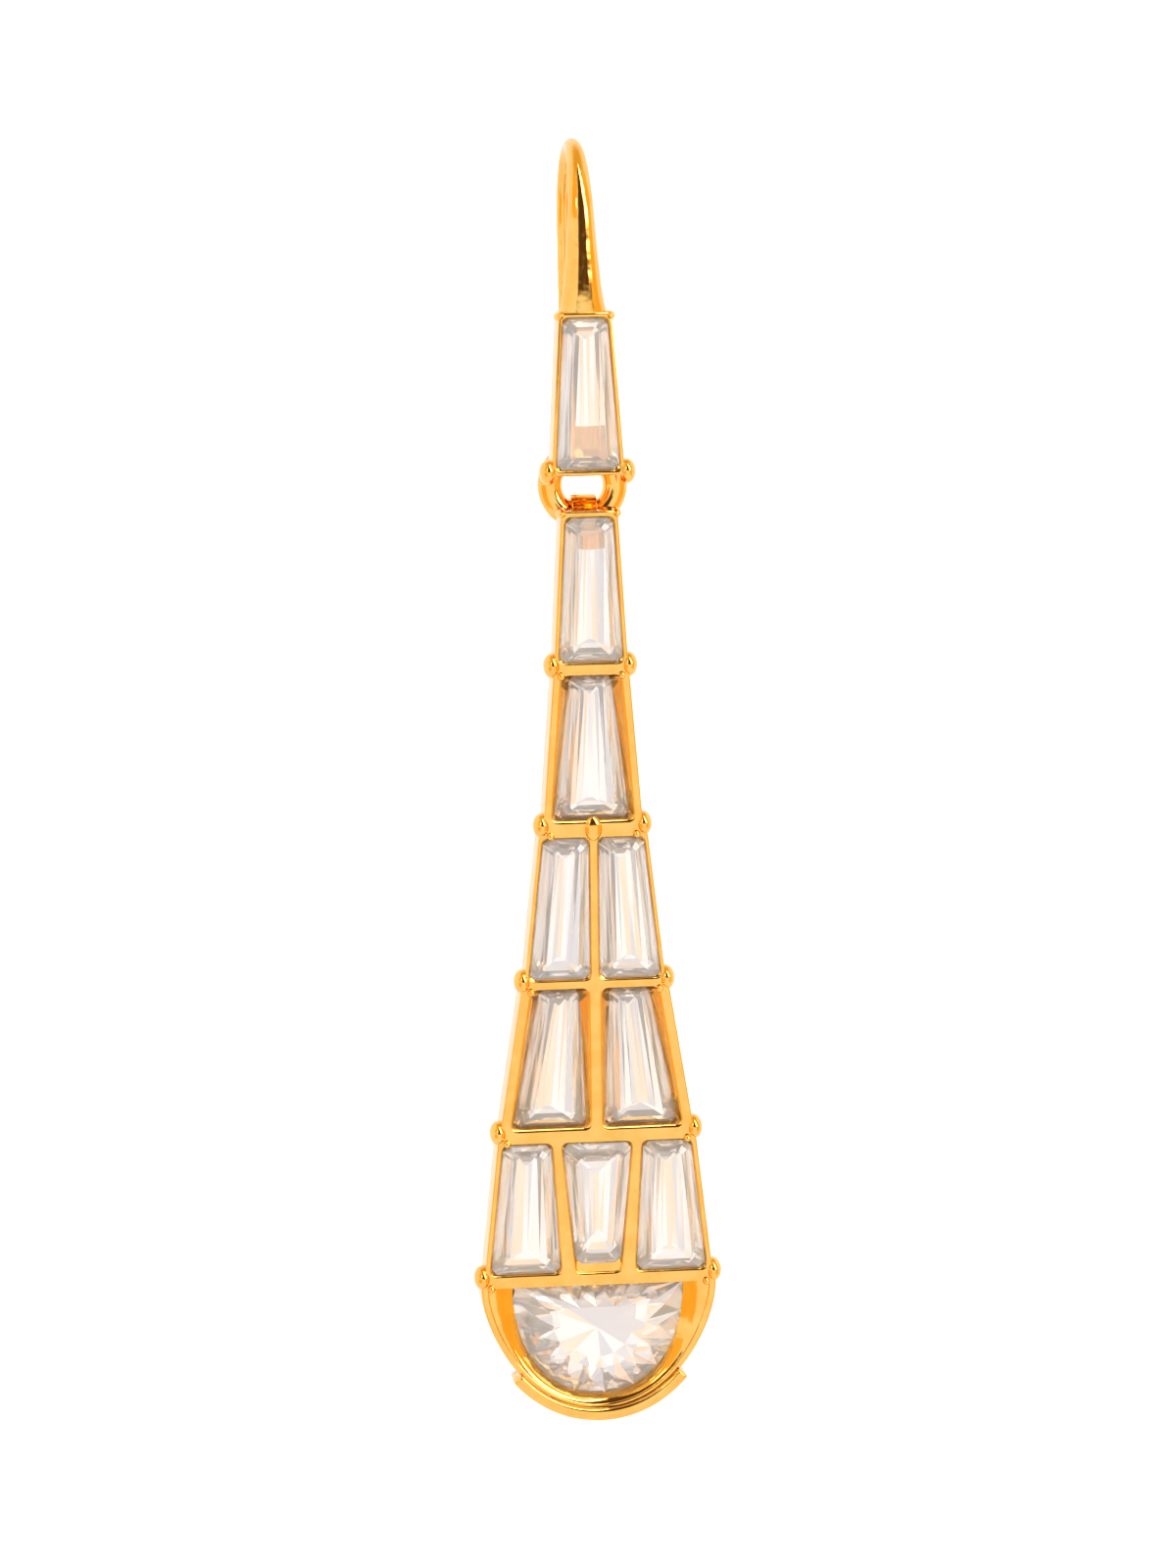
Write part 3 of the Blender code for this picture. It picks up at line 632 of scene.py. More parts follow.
def finish_piece(name, bm, material, body, replaced=(), smooth=True):
    """Turn a bmesh into a piece on a body, with soft shading up to the crease angle."""
    bmesh.ops.recalc_face_normals(bm, faces=bm.faces)
    for face in bm.faces:
        face.smooth = smooth
    for edge in bm.edges:
        edge.smooth = edge.is_manifold and edge.calc_face_angle(pi) < CREASE
    mesh = bpy.data.meshes.new(name)
    bm.to_mesh(mesh)
    bm.free()
    mesh.materials.append(material)
    piece = bpy.data.objects.new(name, mesh)
    scene.collection.objects.link(piece)
    if smooth:
        weighted = piece.modifiers.new("weighted", "WEIGHTED_NORMAL")
        weighted.keep_sharp = True
        make_plain(piece)
    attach(piece, body)
    if replaced:
        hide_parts(*replaced)
    print(name, "has", len(piece.data.polygons), "faces")
    return piece


def make_plain(piece):
    """Keep what the modifiers make as a plain mesh, and remove them."""
    bpy.context.view_layer.update()
    evaluated = piece.evaluated_get(bpy.context.evaluated_depsgraph_get())
    mesh = bpy.data.meshes.new_from_object(evaluated)
    piece.modifiers.clear()
    piece.data = mesh


# %% [markdown]
# ## Ear hook
#
# The hook is one wire, round over the ear and drawn out below into a smooth blade that widens
# to the setting. It is built as ovals along a path, dense enough for a clean reflection. How
# much wider the blade is at each place was read from the real one, and a curve through those
# few places keeps its sides free of kinks.

# %% Ear hook wire
Swell = namedtuple("Swell", "along wide deep")
HOOK_SWELL = (
    Swell(0.00, 1.00, 1.00),
    Swell(0.09, 0.77, 0.985),
    Swell(0.25, 0.55, 0.80),
    Swell(0.47, 0.34, 0.50),
    Swell(0.61, 0.24, 0.32),
    Swell(1.00, 0.00, 0.00),
)
HOOK_SIDES = 32
HOOK_STEP = 0.0002
TAIL_STEPS = 12
TIP_STEPS = 6


def swell_at(along, shares):
    """The blade's share of extra width or depth, on a smooth curve through its places."""
    if along >= 1:
        return 0.0
    places = [place.along for place in HOOK_SWELL]
    k = max(i for i, place in enumerate(places[:-1]) if place <= along)
    before, after = max(k - 1, 0), min(k + 2, len(places) - 1)
    gap = places[k + 1] - places[k]
    leave = (shares[k + 1] - shares[before]) / (places[k + 1] - places[before]) * gap
    arrive = (shares[after] - shares[k]) / (places[after] - places[k]) * gap
    t = (along - places[k]) / gap
    hold = 2 * t ** 3 - 3 * t ** 2 + 1
    reach = 3 * t ** 2 - 2 * t ** 3
    return hold * shares[k] + reach * shares[k + 1] \
        + (t ** 3 - 2 * t ** 2 + t) * leave + (t ** 3 - t ** 2) * arrive


def hook_path():
    """Places along the hook: y, z, outward angle and how far along the blade."""
    foot = -HOOK_FALL - HOOK_FOOT_SINK
    rise = CROWN_CENTRE_Z - foot
    blade = rise + HOOK_BEND_RADIUS * pi / 2
    path = []
    steps = round(rise / HOOK_STEP)
    for i in range(steps):
        done = rise * i / steps
        path.append((FRONT_Y, foot + done, pi, done / blade))
    steps = round(pi * HOOK_BEND_RADIUS / HOOK_STEP)
    for i in range(steps + 1):
        angle = pi * (1 - i / steps)
        done = rise + pi * HOOK_BEND_RADIUS * i / steps
        y = HOOK_BEND_RADIUS * cos(angle)
        z = CROWN_CENTRE_Z + HOOK_BEND_RADIUS * sin(angle)
        path.append((y, z, angle, done / blade))
    for i in range(1, TAIL_STEPS + 1):
        z = CROWN_CENTRE_Z - HOOK_TAIL * i / TAIL_STEPS
        path.append((HOOK_BEND_RADIUS, z, 0.0, 1.0))
    for i in range(1, TAIL_STEPS + 1):
        turn = HOOK_FLICK_ANGLE * i / TAIL_STEPS
        y = HOOK_BEND_RADIUS + HOOK_FLICK_RADIUS * (1 - cos(turn))
        z = CROWN_CENTRE_Z - HOOK_TAIL - HOOK_FLICK_RADIUS * sin(turn)
        path.append((y, z, turn, 1.0))
    return path


def oval_row(y, z, angle, width, depth):
    """An oval of points across the hook's path."""
    row = []
    for i in range(HOOK_SIDES):
        turn = 2 * pi * i / HOOK_SIDES
        out = depth / 2 * sin(turn)
        x = width / 2 * cos(turn)
        row.append(Vector((x, y + out * cos(angle), z + out * sin(angle))))
    return row


def add_hook(bm):
    """The whole wire, from its foot in the setting to the rounded end of its tail."""
    path = hook_path()
    wide = [place.wide for place in HOOK_SWELL]
    deep = [place.deep for place in HOOK_SWELL]
    rows = []
    for y, z, angle, along in path:
        width = HOOK_WIRE + (HOOK_FOOT_WIDTH - HOOK_WIRE) * swell_at(along, wide)
        depth = HOOK_WIRE + (HOOK_FOOT_DEPTH - HOOK_WIRE) * swell_at(along, deep)
        rows.append(oval_row(y, z, angle, width, depth))
    y, z, angle, _ = path[-1]
    for i in range(1, TIP_STEPS):
        turn = pi / 2 * i / TIP_STEPS
        past = HOOK_WIRE / 2 * sin(turn)
        thick = HOOK_WIRE * cos(turn)
        tip_y = y + past * sin(angle)
        tip_z = z - past * cos(angle)
        rows.append(oval_row(tip_y, tip_z, angle, thick, thick))
    add_tube(bm, rows)


# %% [markdown]
# ## Windows and their stones
#
# Each baguette sits in a window of the metal. A window is a tapered cell: a width at its
# head, a width at its foot, and two heights. From the front its wall slopes in to the stone's
# girdle, steps in under it as the seat, and runs straight out at the back. In the second and
# fourth rows the stone lies deeper and is narrower than the mouth, so a broad slope of gold
# shows beside it. Where a loop is soldered on behind, a pad of metal closes part of the way
# out, a little behind the stone.

# %% Cells and windows
Cell = namedtuple("Cell", "head foot z_head z_foot")
CORNER_STEPS = 5
KEEL_CLEARANCE = 0.0002
PAD_MARGIN = 0.0002
PAD_STEP = 0.0002
HOLD_SHARE = 0.3
MOUTH_RIMS = 1.5


def offset_cell(cell, distance):
    """A cell grown by a distance on all four sides, or shrunk by a negative one."""
    heads = []
    feet = []
    for side, sign in ((0, -1), (1, 1)):
        slope = (cell.foot[side] - cell.head[side]) / (cell.z_foot - cell.z_head)
        shift = sign * distance * sqrt(1 + slope ** 2)
        heads.append(cell.head[side] + shift + slope * distance)
        feet.append(cell.foot[side] + shift - slope * distance)
    return Cell(tuple(heads), tuple(feet), cell.z_head + distance, cell.z_foot - distance)


def shortened_cell(cell, z_head, z_foot):
    """The part of a cell between two heights, on the same slanted sides."""
    stretches = []
    for z in (z_head, z_foot):
        mix = (z - cell.z_head) / (cell.z_foot - cell.z_head)
        stretches.append(tuple(a + (b - a) * mix for a, b in zip(cell.head, cell.foot)))
    return Cell(stretches[0], stretches[1], z_head, z_foot)


def narrowed(pair, share):
    """A stretch shrunk to a share of its width about its middle."""
    centre = (pair[0] + pair[1]) / 2
    half = (pair[1] - pair[0]) / 2 * share
    return (centre - half, centre + half)


def cell_outline(cell, radius, steps=CORNER_STEPS):
    """The flat outline of a cell with each corner turned in a few steps."""
    corners = [
        Vector((cell.head[0], cell.z_head)),
        Vector((cell.head[1], cell.z_head)),
        Vector((cell.foot[1], cell.z_foot)),
        Vector((cell.foot[0], cell.z_foot)),
    ]
    outline = []
    for i, corner in enumerate(corners):
        before = corner + (corners[i - 1] - corner).normalized() * radius
        after = corner + (corners[(i + 1) % 4] - corner).normalized() * radius
        for k in range(steps + 1):
            t = k / steps
            outline.append(before * (1 - t) ** 2 + corner * 2 * t * (1 - t) + after * t ** 2)
    return outline


def window_rings(cell, stone, girdle_front, rim=RIM, way_out=None):
    """The rings of a window's wall from the face to the back.

    way_out is the outline behind the keel, where a pad closes the rest.
    """
    seat = girdle_front + GIRDLE + SEAT_SHARE * PAVILION
    mouth = cell_outline(cell, STONE_CORNER)
    hold = cell_outline(offset_cell(stone, STONE_GAP * HOLD_SHARE), STONE_CORNER)
    under = cell_outline(offset_cell(stone, -LEDGE), STONE_CORNER)
    rings = rim_rings(mouth, FACE, 1, hole=True, rim=rim)
    rings.append((hold, max(girdle_front, FACE + MOUTH_RIMS * rim)))
    rings.append((hold, seat))
    rings.append((under, seat))
    if way_out:
        keel = girdle_front + GIRDLE + PAVILION + KEEL_CLEARANCE
        rings.append((under, keel))
        under = cell_outline(way_out, STONE_CORNER)
        rings.append((under, keel))
    return rings + rim_rings(under, BACK, -1, hole=True)[::-1]


# %% [markdown]
# A step-cut stone is a stack of outlines: the table, a step down the crown, the girdle, and
# five steps down the pavilion to a narrow keel. Its corners are cut off short, so every
# step has eight facets, and all stay perfectly flat with sharp edges.

# %% Step-cut stones
Step = namedtuple("Step", "inset level")
CROWN_STEPS = (Step(0.40, 1.0), Step(0.20, 0.64))
PAVILION_STEPS = (
    Step(0.18, 0.30), Step(0.38, 0.56), Step(0.58, 0.76), Step(0.77, 0.90), Step(0.93, 1.0),
)
FILL_OF_GAP = 0.75
CORNER_SHARE = 0.9


def stepped_cell(cell, share):
    """A stone outline stepped in by a share of its half width, at the ends as at the sides."""
    step_in = share * (cell.head[1] - cell.head[0]) / 2
    head = narrowed(cell.head, 1 - share)
    foot = narrowed(cell.foot, 1 - share)
    return Cell(head, foot, cell.z_head - step_in, cell.z_foot + step_in)


def baguette(name, stone, girdle_front, place, body):
    """A step-cut stone in its window, in place of the plain one of the frame."""
    full = offset_cell(stone, STONE_GAP * FILL_OF_GAP)
    corner = STONE_CORNER * CORNER_SHARE
    back = girdle_front + GIRDLE
    levels = [(step.inset, girdle_front - CROWN * step.level) for step in CROWN_STEPS]
    levels += [(0.0, girdle_front), (0.0, back)]
    levels += [(step.inset, back + PAVILION * step.level) for step in PAVILION_STEPS]
    rings = []
    for share, depth in levels:
        outline = cell_outline(stepped_cell(full, share), corner * (1 - share), 1)
        rings.append((outline, depth))
    bm = bmesh.new()
    rows = add_band(bm, rings, place)
    bm.faces.new(rows[0])
    bm.faces.new(rows[-1][::-1])
    finish_piece(name.replace("stone", "crystal"), bm, crystal, body, (name,), False)


# %% [markdown]
# ## Top setting
#
# The hook, the setting of the first stone and the eye behind it are soldered into one piece.
# The eye is a flat band bent into a loop round the link ring, so it is spun from a rounded
# strip. The three forms run into each other, as soldered metal does.

# %% Top setting
RING_HOLE = RING_RADIUS - RING_WIRE / 2
EYE_WIDTH = 0.0006
EYE_BAND = 0.0003
BAIL_WIDTH = 0.0012
BAIL_BAND = 0.00022
BAND_SIDES = 48
BAND_EDGE = 0.00006
BAND_EDGE_STEPS = 3


def loop_radius(width):
    """Inner radius of a loop of this width that clears the ring's wire."""
    chord = sqrt(RING_HOLE ** 2 - (width / 2) ** 2)
    return RING_RADIUS - chord + LOOP_PLAY


def add_band_loop(bm, centre, band, width, place):
    """A flat band with soft edges, bent into a closed loop round an axis along X."""
    inner = loop_radius(width)
    strip = []
    for x_side, r_side in ((1, 1), (-1, 1), (-1, -1), (1, -1)):
        corner_x = x_side * (width / 2 - BAND_EDGE)
        corner_r = inner + band / 2 + r_side * (band / 2 - BAND_EDGE)
        start = atan2(r_side, x_side) - pi / 4
        for k in range(BAND_EDGE_STEPS + 1):
            turn = start + pi / 2 * k / BAND_EDGE_STEPS
            x = corner_x + BAND_EDGE * cos(turn)
            strip.append((x, corner_r + BAND_EDGE * sin(turn)))
    rows = []
    for i in range(BAND_SIDES):
        angle = 2 * pi * i / BAND_SIDES
        spoke = Vector((0, cos(angle), sin(angle)))
        rows.append([place @ (centre + spoke * r + Vector((x, 0, 0))) for x, r in strip])
    add_tube(bm, rows, closed=True)


def top_setting():
    """The hook, the first stone's setting and the eye, and the stone itself."""
    head = TOP_HEAD_WIDTH / 2
    foot = TOP_FOOT_WIDTH / 2
    z_head = -HOOK_FALL
    slope = (foot - head) / (z_head - TOP_FOOT_Z)
    clear_head = head + slope * TOP_BAR - RAIL
    clear_foot = foot - slope * TOP_BAR - RAIL
    cell = Cell(
        (-clear_head, clear_head), (-clear_foot, clear_foot), z_head - TOP_BAR, TOP_FOOT_Z + TOP_BAR
    )
    stone = offset_cell(cell, -STONE_GAP)
    outer = [Vector(p) for p in (
        (-head, z_head), (head, z_head), (foot, TOP_FOOT_Z), (-foot, TOP_FOOT_Z)
    )]
    eye = Vector((0, RING_SET_BACK, RING_Z + RING_RADIUS))
    pad_top = eye.z + loop_radius(EYE_WIDTH) + EYE_BAND + PAD_MARGIN
    opening = offset_cell(stone, -PAD_STEP)
    way_out = shortened_cell(opening, opening.z_head, pad_top)
    window = window_rings(cell, stone, FACE + GIRDLE_SET, way_out=way_out)
    bm = bmesh.new()
    add_sheet(bm, outer, [window], ear_place)
    add_hook(bm)
    add_band_loop(bm, eye, EYE_BAND, EYE_WIDTH, ear_place)
    finish_piece("gold_ear_hook", bm, gold, "ear_piece", ("ear_hook",))
    baguette("stone_top", stone, FACE + GIRDLE_SET, ear_place, "ear_piece")


top_setting()

# %% [markdown]
# ## Link ring
#
# A thick round ring joins the two halves. It is the one piece that is a true torus, so it is
# spun as one, with its axis fore and aft.

# %% Link ring
RING_STEPS = 72
RING_SIDES = 24

bm = bmesh.new()
rows = []
for i in range(RING_STEPS):
    around = 2 * pi * i / RING_STEPS
    row = []
    for k in range(RING_SIDES):
        across = 2 * pi * k / RING_SIDES
        out = RING_RADIUS + RING_WIRE / 2 * cos(across)
        y = RING_Y + RING_WIRE / 2 * sin(across)
        row.append(Vector((out * cos(around), y, RING_Z + out * sin(around))))
    rows.append(row)
add_tube(bm, rows, closed=True)
finish_piece("gold_link_ring", bm, gold, "ring", ("link_ring",))

# %% [markdown]
# ## Drop frame
#
# The drop is one casting: five rows that widen downwards, a cup for the half-moon, and a
# loop at its back. Each row is one line of shares, because the rows differ only in their
# widths, their walls and how deep their stones lie.

# %% Rows of the drop
Row = namedtuple(
    "Row",
    "stones head foot height rail divider_head divider_foot split_head split_foot "
    "fill_head fill_foot sunk bar",
)
ROWS = (
    Row(1, 0.248, 0.320, 0.988, 1.1, 0.0, 0.0, 0.00, 0.000, 1.00, 1.00, 0.0, 1.26),
    Row(1, 0.332, 0.430, 0.987, 2.2, 0.0, 0.0, 0.00, 0.000, 0.74, 0.95, 1.0, 1.68),
    Row(2, 0.477, 0.615, 0.977, 1.0, 1.4, 1.4, 0.00, 0.000, 1.00, 1.00, 0.0, 0.96),
    Row(2, 0.648, 0.844, 0.959, 2.8, 2.3, 2.3, 0.00, 0.000, 0.74, 0.96, 1.0, 1.52),
    Row(3, 0.872, 1.000, 0.905, 1.4, 1.7, 2.5, 0.43, 0.275, 1.00, 1.00, 0.0, 1.32),
)


def clear_spans(half, posts, width):
    """The clear stretches between rails at -half and half, with posts between."""
    walls = [-half]
    for post in posts:
        walls += [post - width / 2, post + width / 2]
    walls.append(half)
    return list(zip(walls[::2], walls[1::2]))


def row_cells(row, z_head, z_foot):
    """The windows of one row, left to right."""
    spans = []
    for width, split, divider in (
        (row.head, row.split_head, row.divider_head),
        (row.foot, row.split_foot, row.divider_foot),
    ):
        half = width * DROP_WIDTH / 2 - row.rail * RAIL
        posts = []
        if row.stones == 2:
            posts = [0.0]
        if row.stones == 3:
            posts = [-split * half, split * half]
        spans.append(clear_spans(half, posts, divider * DIVIDER))
    return [Cell(head, foot, z_head, z_foot) for head, foot in zip(*spans)]


# %% [markdown]
# The half-moon and its cup share one kind of outline: flat on top, with a side that leaves
# the corner steeply and sweeps round to the tip. Two handles shape that sweep.

# %% Half-moon outlines
MOON_WIDTH = 0.00814
MOON_HEIGHT = 0.0053
MOON_SIDE = 0.55
MOON_SWEEP = 0.65
CUP_WIDTH = 0.01124
CUP_HEIGHT = 0.00615
CUP_SIDE = 0.33
CUP_SWEEP = 0.64
CUP_RIM = 0.00035
SIDE_STEPS = 28
HOLLOW_STEPS = 6
HOLLOW = 1.6
MOON_PAVILION = 0.0011


def side_point(half, height, side, sweep, t):
    """A point of the right-hand side, from the top corner at 0 to the tip at 1."""
    s = 1 - t
    x = half * (s ** 3 + 3 * s * s * t + 3 * s * t * t * sweep)
    z = -height * (3 * s * s * t * side + 3 * s * t * t + t ** 3)
    return Vector((x, z))


def moon_outline(width, height, side, sweep, top=0.0, steps=SIDE_STEPS):
    """A half-moon outline whose flat top lies at a height."""
    right = [side_point(width / 2, height, side, sweep, i / steps) for i in range(steps + 1)]
    left = [Vector((-p.x, p.y)) for p in right[-2::-1]]
    return [p + Vector((0, top)) for p in right + left]


def cup_rings(cup_top):
    """The wall of the cup's window: a hollow slope down to the stone, its seat, the back."""
    girdle_front = FACE + GIRDLE_SET + RECESS
    seat = girdle_front + GIRDLE + SEAT_SHARE * MOON_PAVILION
    mouth = moon_outline(
        CUP_WIDTH - 2 * CUP_RIM, CUP_HEIGHT - CUP_RIM, CUP_SIDE, CUP_SWEEP, cup_top
    )
    hold = moon_outline(
        MOON_WIDTH + STONE_GAP, MOON_HEIGHT + STONE_GAP, MOON_SIDE, MOON_SWEEP, cup_top
    )
    under = moon_outline(
        MOON_WIDTH - 2 * LEDGE, MOON_HEIGHT - 2 * LEDGE, MOON_SIDE, MOON_SWEEP,
        cup_top - STONE_GAP - LEDGE,
    )
    rings = rim_rings(mouth, FACE, 1, hole=True)
    edge, top = rings[-1]
    for k in range(1, HOLLOW_STEPS):
        t = k / HOLLOW_STEPS
        between = [a.lerp(b, t) for a, b in zip(edge, hold)]
        rings.append((between, top + (girdle_front - top) * t ** HOLLOW))
    rings += [(hold, girdle_front), (hold, seat), (under, seat)]
    return rings + rim_rings(under, BACK, -1, hole=True)[::-1]


# %% [markdown]
# Now the frame itself. Walking down the rows collects the outline's right-hand side, the
# windows and where the prong beads go. The left-hand side is its mirror image. Broad rails are
# rounded more than narrow ones, and the slope of the cup is hollow, as a round tool leaves it,
# so that it gathers a bright band on one side and a dark line on the other.

# %% Drop frame
Bead = namedtuple("Bead", "x y z size")
BEAD_WIDTH = 0.00085
BEAD_HEIGHT = 0.00118
BEAD_DEPTH = 0.0015
BEAD_PROUD = 0.0002
BEAD_OUT = 0.00006
BEAD_LIFT = 0.00015
SMALL_BEAD = 0.0005
ROUNDEST = 0.00018
ROUND_SHARE = 0.45


def drop_frame():
    """Build the frame and its baguettes. Gives its beads and where its cup starts."""
    z = RING_RADIUS - DROP_BELOW_RING
    right = [Vector((ROWS[0].head * DROP_WIDTH / 2, z))]
    z -= DROP_HEAD_BAR
    pad_foot = -(loop_radius(BAIL_WIDTH) + BAIL_BAND + PAD_MARGIN)
    windows = []
    beads = []
    for number, row in enumerate(ROWS, 1):
        z_head = z
        z_foot = z_head - row.height * BAGUETTE_HEIGHT - 2 * STONE_GAP
        girdle_front = FACE + GIRDLE_SET + row.sunk * RECESS
        for place_in_row, cell in enumerate(row_cells(row, z_head, z_foot), 1):
            filled = Cell(
                narrowed(cell.head, row.fill_head), narrowed(cell.foot, row.fill_foot),
                z_head, z_foot,
            )
            if row.stones == 3 and place_in_row == 2:
                filled = shortened_cell(filled, z_head, z_foot + KEYSTONE_STEP)
            stone = offset_cell(filled, -STONE_GAP)
            way_out = None
            if number == 1:
                opening = offset_cell(stone, -PAD_STEP)
                way_out = shortened_cell(opening, pad_foot, opening.z_foot)
            rim = min(ROUNDEST, row.rail * RAIL * ROUND_SHARE)
            windows.append(window_rings(cell, stone, girdle_front, rim, way_out))
            baguette(f"stone_row{number}_{place_in_row}", stone, girdle_front, drop_place, "drop")
        right.append(Vector((row.head * DROP_WIDTH / 2, z_head)))
        right.append(Vector((row.foot * DROP_WIDTH / 2, z_foot)))
        z = z_foot - row.bar * BAR
        beads.append((row.foot * DROP_WIDTH / 2, (z_foot + z) / 2))
    for i in range(2 * SIDE_STEPS + 1):
        point = side_point(CUP_WIDTH / 2, CUP_HEIGHT, CUP_SIDE, CUP_SWEEP, i / (2 * SIDE_STEPS))
        right.append(point + Vector((0, z)))
    outer = right + [Vector((-p.x, p.y)) for p in right[-2::-1]]
    bm = bmesh.new()
    add_sheet(bm, outer, windows + [cup_rings(z)], drop_place)
    add_band_loop(bm, Vector((0, RING_SET_BACK, 0)), BAIL_BAND, BAIL_WIDTH, drop_place)
    add_lip(bm, z)
    finish_piece("gold_drop_frame", bm, gold, "drop", ("drop_frame",))
    return beads, z


# %% [markdown]
# The lip is a crescent of metal that wraps the tip of the cup and stands proud of its face.
# It is a rounded strip swept along the lower part of the cup's side, with blunt soft ends.

# %% Tip lip
LIP_STAND = 0.00038
LIP_LAP = 0.0002
LIP_RISE = 0.0004
LIP_BACK = 0.0005
LIP_SWEEP = 0.68
LIP_START = 0.57
LIP_STEPS = 40
LIP_EDGE = 0.00016
LIP_EDGE_STEPS = 4
LIP_END_STEPS = 4
LIP_END_PAST = 0.0001
LIP_END_LESS = 0.18


def lip_section():
    """The strip's rounded outline as how far out of the cup's edge and how deep."""
    front = FACE - LIP_RISE
    back = BACK - LIP_BACK
    section = []
    corners = (
        (-LIP_LAP + LIP_EDGE, front + LIP_EDGE, 180),
        (LIP_STAND - LIP_EDGE, front + LIP_EDGE, 270),
        (LIP_STAND - LIP_EDGE, back - LIP_EDGE, 0),
        (-LIP_LAP + LIP_EDGE, back - LIP_EDGE, 90),
    )
    for stand, depth, start in corners:
        for k in range(LIP_EDGE_STEPS + 1):
            turn = radians(start + 90 * k / LIP_EDGE_STEPS)
            section.append((stand + LIP_EDGE * cos(turn), depth + LIP_EDGE * sin(turn)))
    return section


def add_lip(bm, cup_top):
    """The crescent round the cup's tip, with soft ends."""
    path = []
    for i in range(LIP_STEPS + 1):
        t = LIP_START + (1 - LIP_START) * i / LIP_STEPS
        path.append(side_point(CUP_WIDTH / 2, CUP_HEIGHT, CUP_SIDE, LIP_SWEEP, t))
    path += [Vector((-p.x, p.y)) for p in path[-2::-1]]
    path = [Vector((p.x, 0, cup_top + p.y)) for p in path]
    section = lip_section()
    centre = (
        (LIP_STAND - LIP_LAP) / 2,
        (FACE - LIP_RISE + BACK - LIP_BACK) / 2,
    )
    rows = []
    for i, point in enumerate(path):
        run = path[min(i + 1, len(path) - 1)] - path[max(i - 1, 0)]
        out = Vector((-run.z, 0, run.x)).normalized()
        rows.append([point + out * stand + Vector((0, y, 0)) for stand, y in section])
        if i in (0, len(path) - 1):
            along = run.normalized() * (-1 if i == 0 else 1)
            ends = []
            for k in range(1, LIP_END_STEPS):
                turn = pi / 2 * k / LIP_END_STEPS
                past = along * LIP_END_PAST * sin(turn)
                keep = 1 - LIP_END_LESS * (1 - cos(turn))
                middle_of = point + out * centre[0] + Vector((0, centre[1], 0))
                ends.append([middle_of + (p - middle_of) * keep + past for p in rows[-1]])
            rows = ends[::-1] + rows if i == 0 else rows + ends
    add_tube(bm, [[drop_place @ p for p in row] for row in rows])


drop_beads, cup_top = drop_frame()
print("cup starts at", round(cup_top, 5))

# %% [markdown]
# ## Half-moon stone
#
# The tip stone is cut like a brilliant: a table, small star facets round it, kites down the
# crown, and many narrow facets below that break the light into splinters. Rings of points
# that are turned by half a step against each other give exactly those facets.

# %% Half-moon stone
MOON_CROWN = 0.0006
MOON_MIDDLE = 0.42
MOON_MAINS = 16
MOON_FILL_ASIDE = 0.8
MOON_FILL_DOWN = 0.4
MoonRing = namedtuple("MoonRing", "keep level")
MOON_TABLE = MoonRing(0.56, 1.0)
MOON_STARS = MoonRing(0.76, 0.62)
MOON_LOWER = MoonRing(0.72, 0.60)
MOON_DEEP = MoonRing(0.46, 0.80)


def moon_loop(share):
    """A point on the half-moon's girdle outline, share going once round from the top left."""
    outline = moon_outline(
        MOON_WIDTH + STONE_GAP * MOON_FILL_ASIDE, MOON_HEIGHT + STONE_GAP * MOON_FILL_DOWN,
        MOON_SIDE, MOON_SWEEP,
    )
    lengths = [(b - a).length for a, b in zip(outline, outline[1:] + outline[:1])]
    walk = (share % 1.0) * sum(lengths)
    for start, end, length in zip(outline, outline[1:] + outline[:1], lengths):
        if walk <= length:
            return start + (end - start) * (walk / length)
        walk -= length
    return outline[0]


def moon_row(bm, count, shift, keep, y, top):
    """A ring of points on the outline shrunk towards its middle."""
    centre = Vector((0, -MOON_MIDDLE * MOON_HEIGHT))
    row = []
    for i in range(count):
        point = centre + (moon_loop((i + shift) / count) - centre) * keep
        row.append(bm.verts.new(drop_place @ Vector((point.x, y, top + point.y))))
    return row


def half_moon(top):
    """The tip stone, from its table at the front to its point at the back."""
    girdle = FACE + GIRDLE_SET + RECESS
    back = girdle + GIRDLE
    n = MOON_MAINS
    bm = bmesh.new()
    table = moon_row(bm, n, 0.0, MOON_TABLE.keep, girdle - MOON_CROWN * MOON_TABLE.level, top)
    stars = moon_row(bm, n, 0.5, MOON_STARS.keep, girdle - MOON_CROWN * MOON_STARS.level, top)
    front = moon_row(bm, 2 * n, 0.0, 1.0, girdle, top)
    rear = moon_row(bm, 2 * n, 0.0, 1.0, back, top)
    lower = moon_row(bm, n, 0.5, MOON_LOWER.keep, back + MOON_PAVILION * MOON_LOWER.level, top)
    deep = moon_row(bm, n, 0.0, MOON_DEEP.keep, back + MOON_PAVILION * MOON_DEEP.level, top)
    bm.faces.new(table)
    for i in range(n):
        j = (i + 1) % n
        g, h, k = 2 * i, 2 * i + 1, (2 * i + 2) % (2 * n)
        for corners in (
            (table[i], table[j], stars[i]),
            (table[i], stars[i], front[g]),
            (table[i], front[g], stars[i - 1]),
            (stars[i], front[g], front[h]),
            (stars[i], front[h], front[k]),
            (front[g], rear[g], rear[h], front[h]),
            (front[h], rear[h], rear[k], front[k]),
            (rear[g], rear[h], lower[i]),
            (rear[h], rear[k], lower[i]),
            (rear[g], lower[i], deep[i]),
            (rear[g], deep[i], lower[i - 1]),
            (lower[i], deep[j], deep[i]),
        ):
            bm.faces.new(corners)
    tip = Vector((0, back + MOON_PAVILION, top - MOON_MIDDLE * MOON_HEIGHT))
    culet = bm.verts.new(drop_place @ tip)
    for i in range(n):
        bm.faces.new((deep[i], deep[(i + 1) % n], culet))
    finish_piece(
        "crystal_half_moon", bm, crystal, "drop", ("stone_half_moon",), False
    )


half_moon(cup_top - STONE_GAP * MOON_FILL_ASIDE)

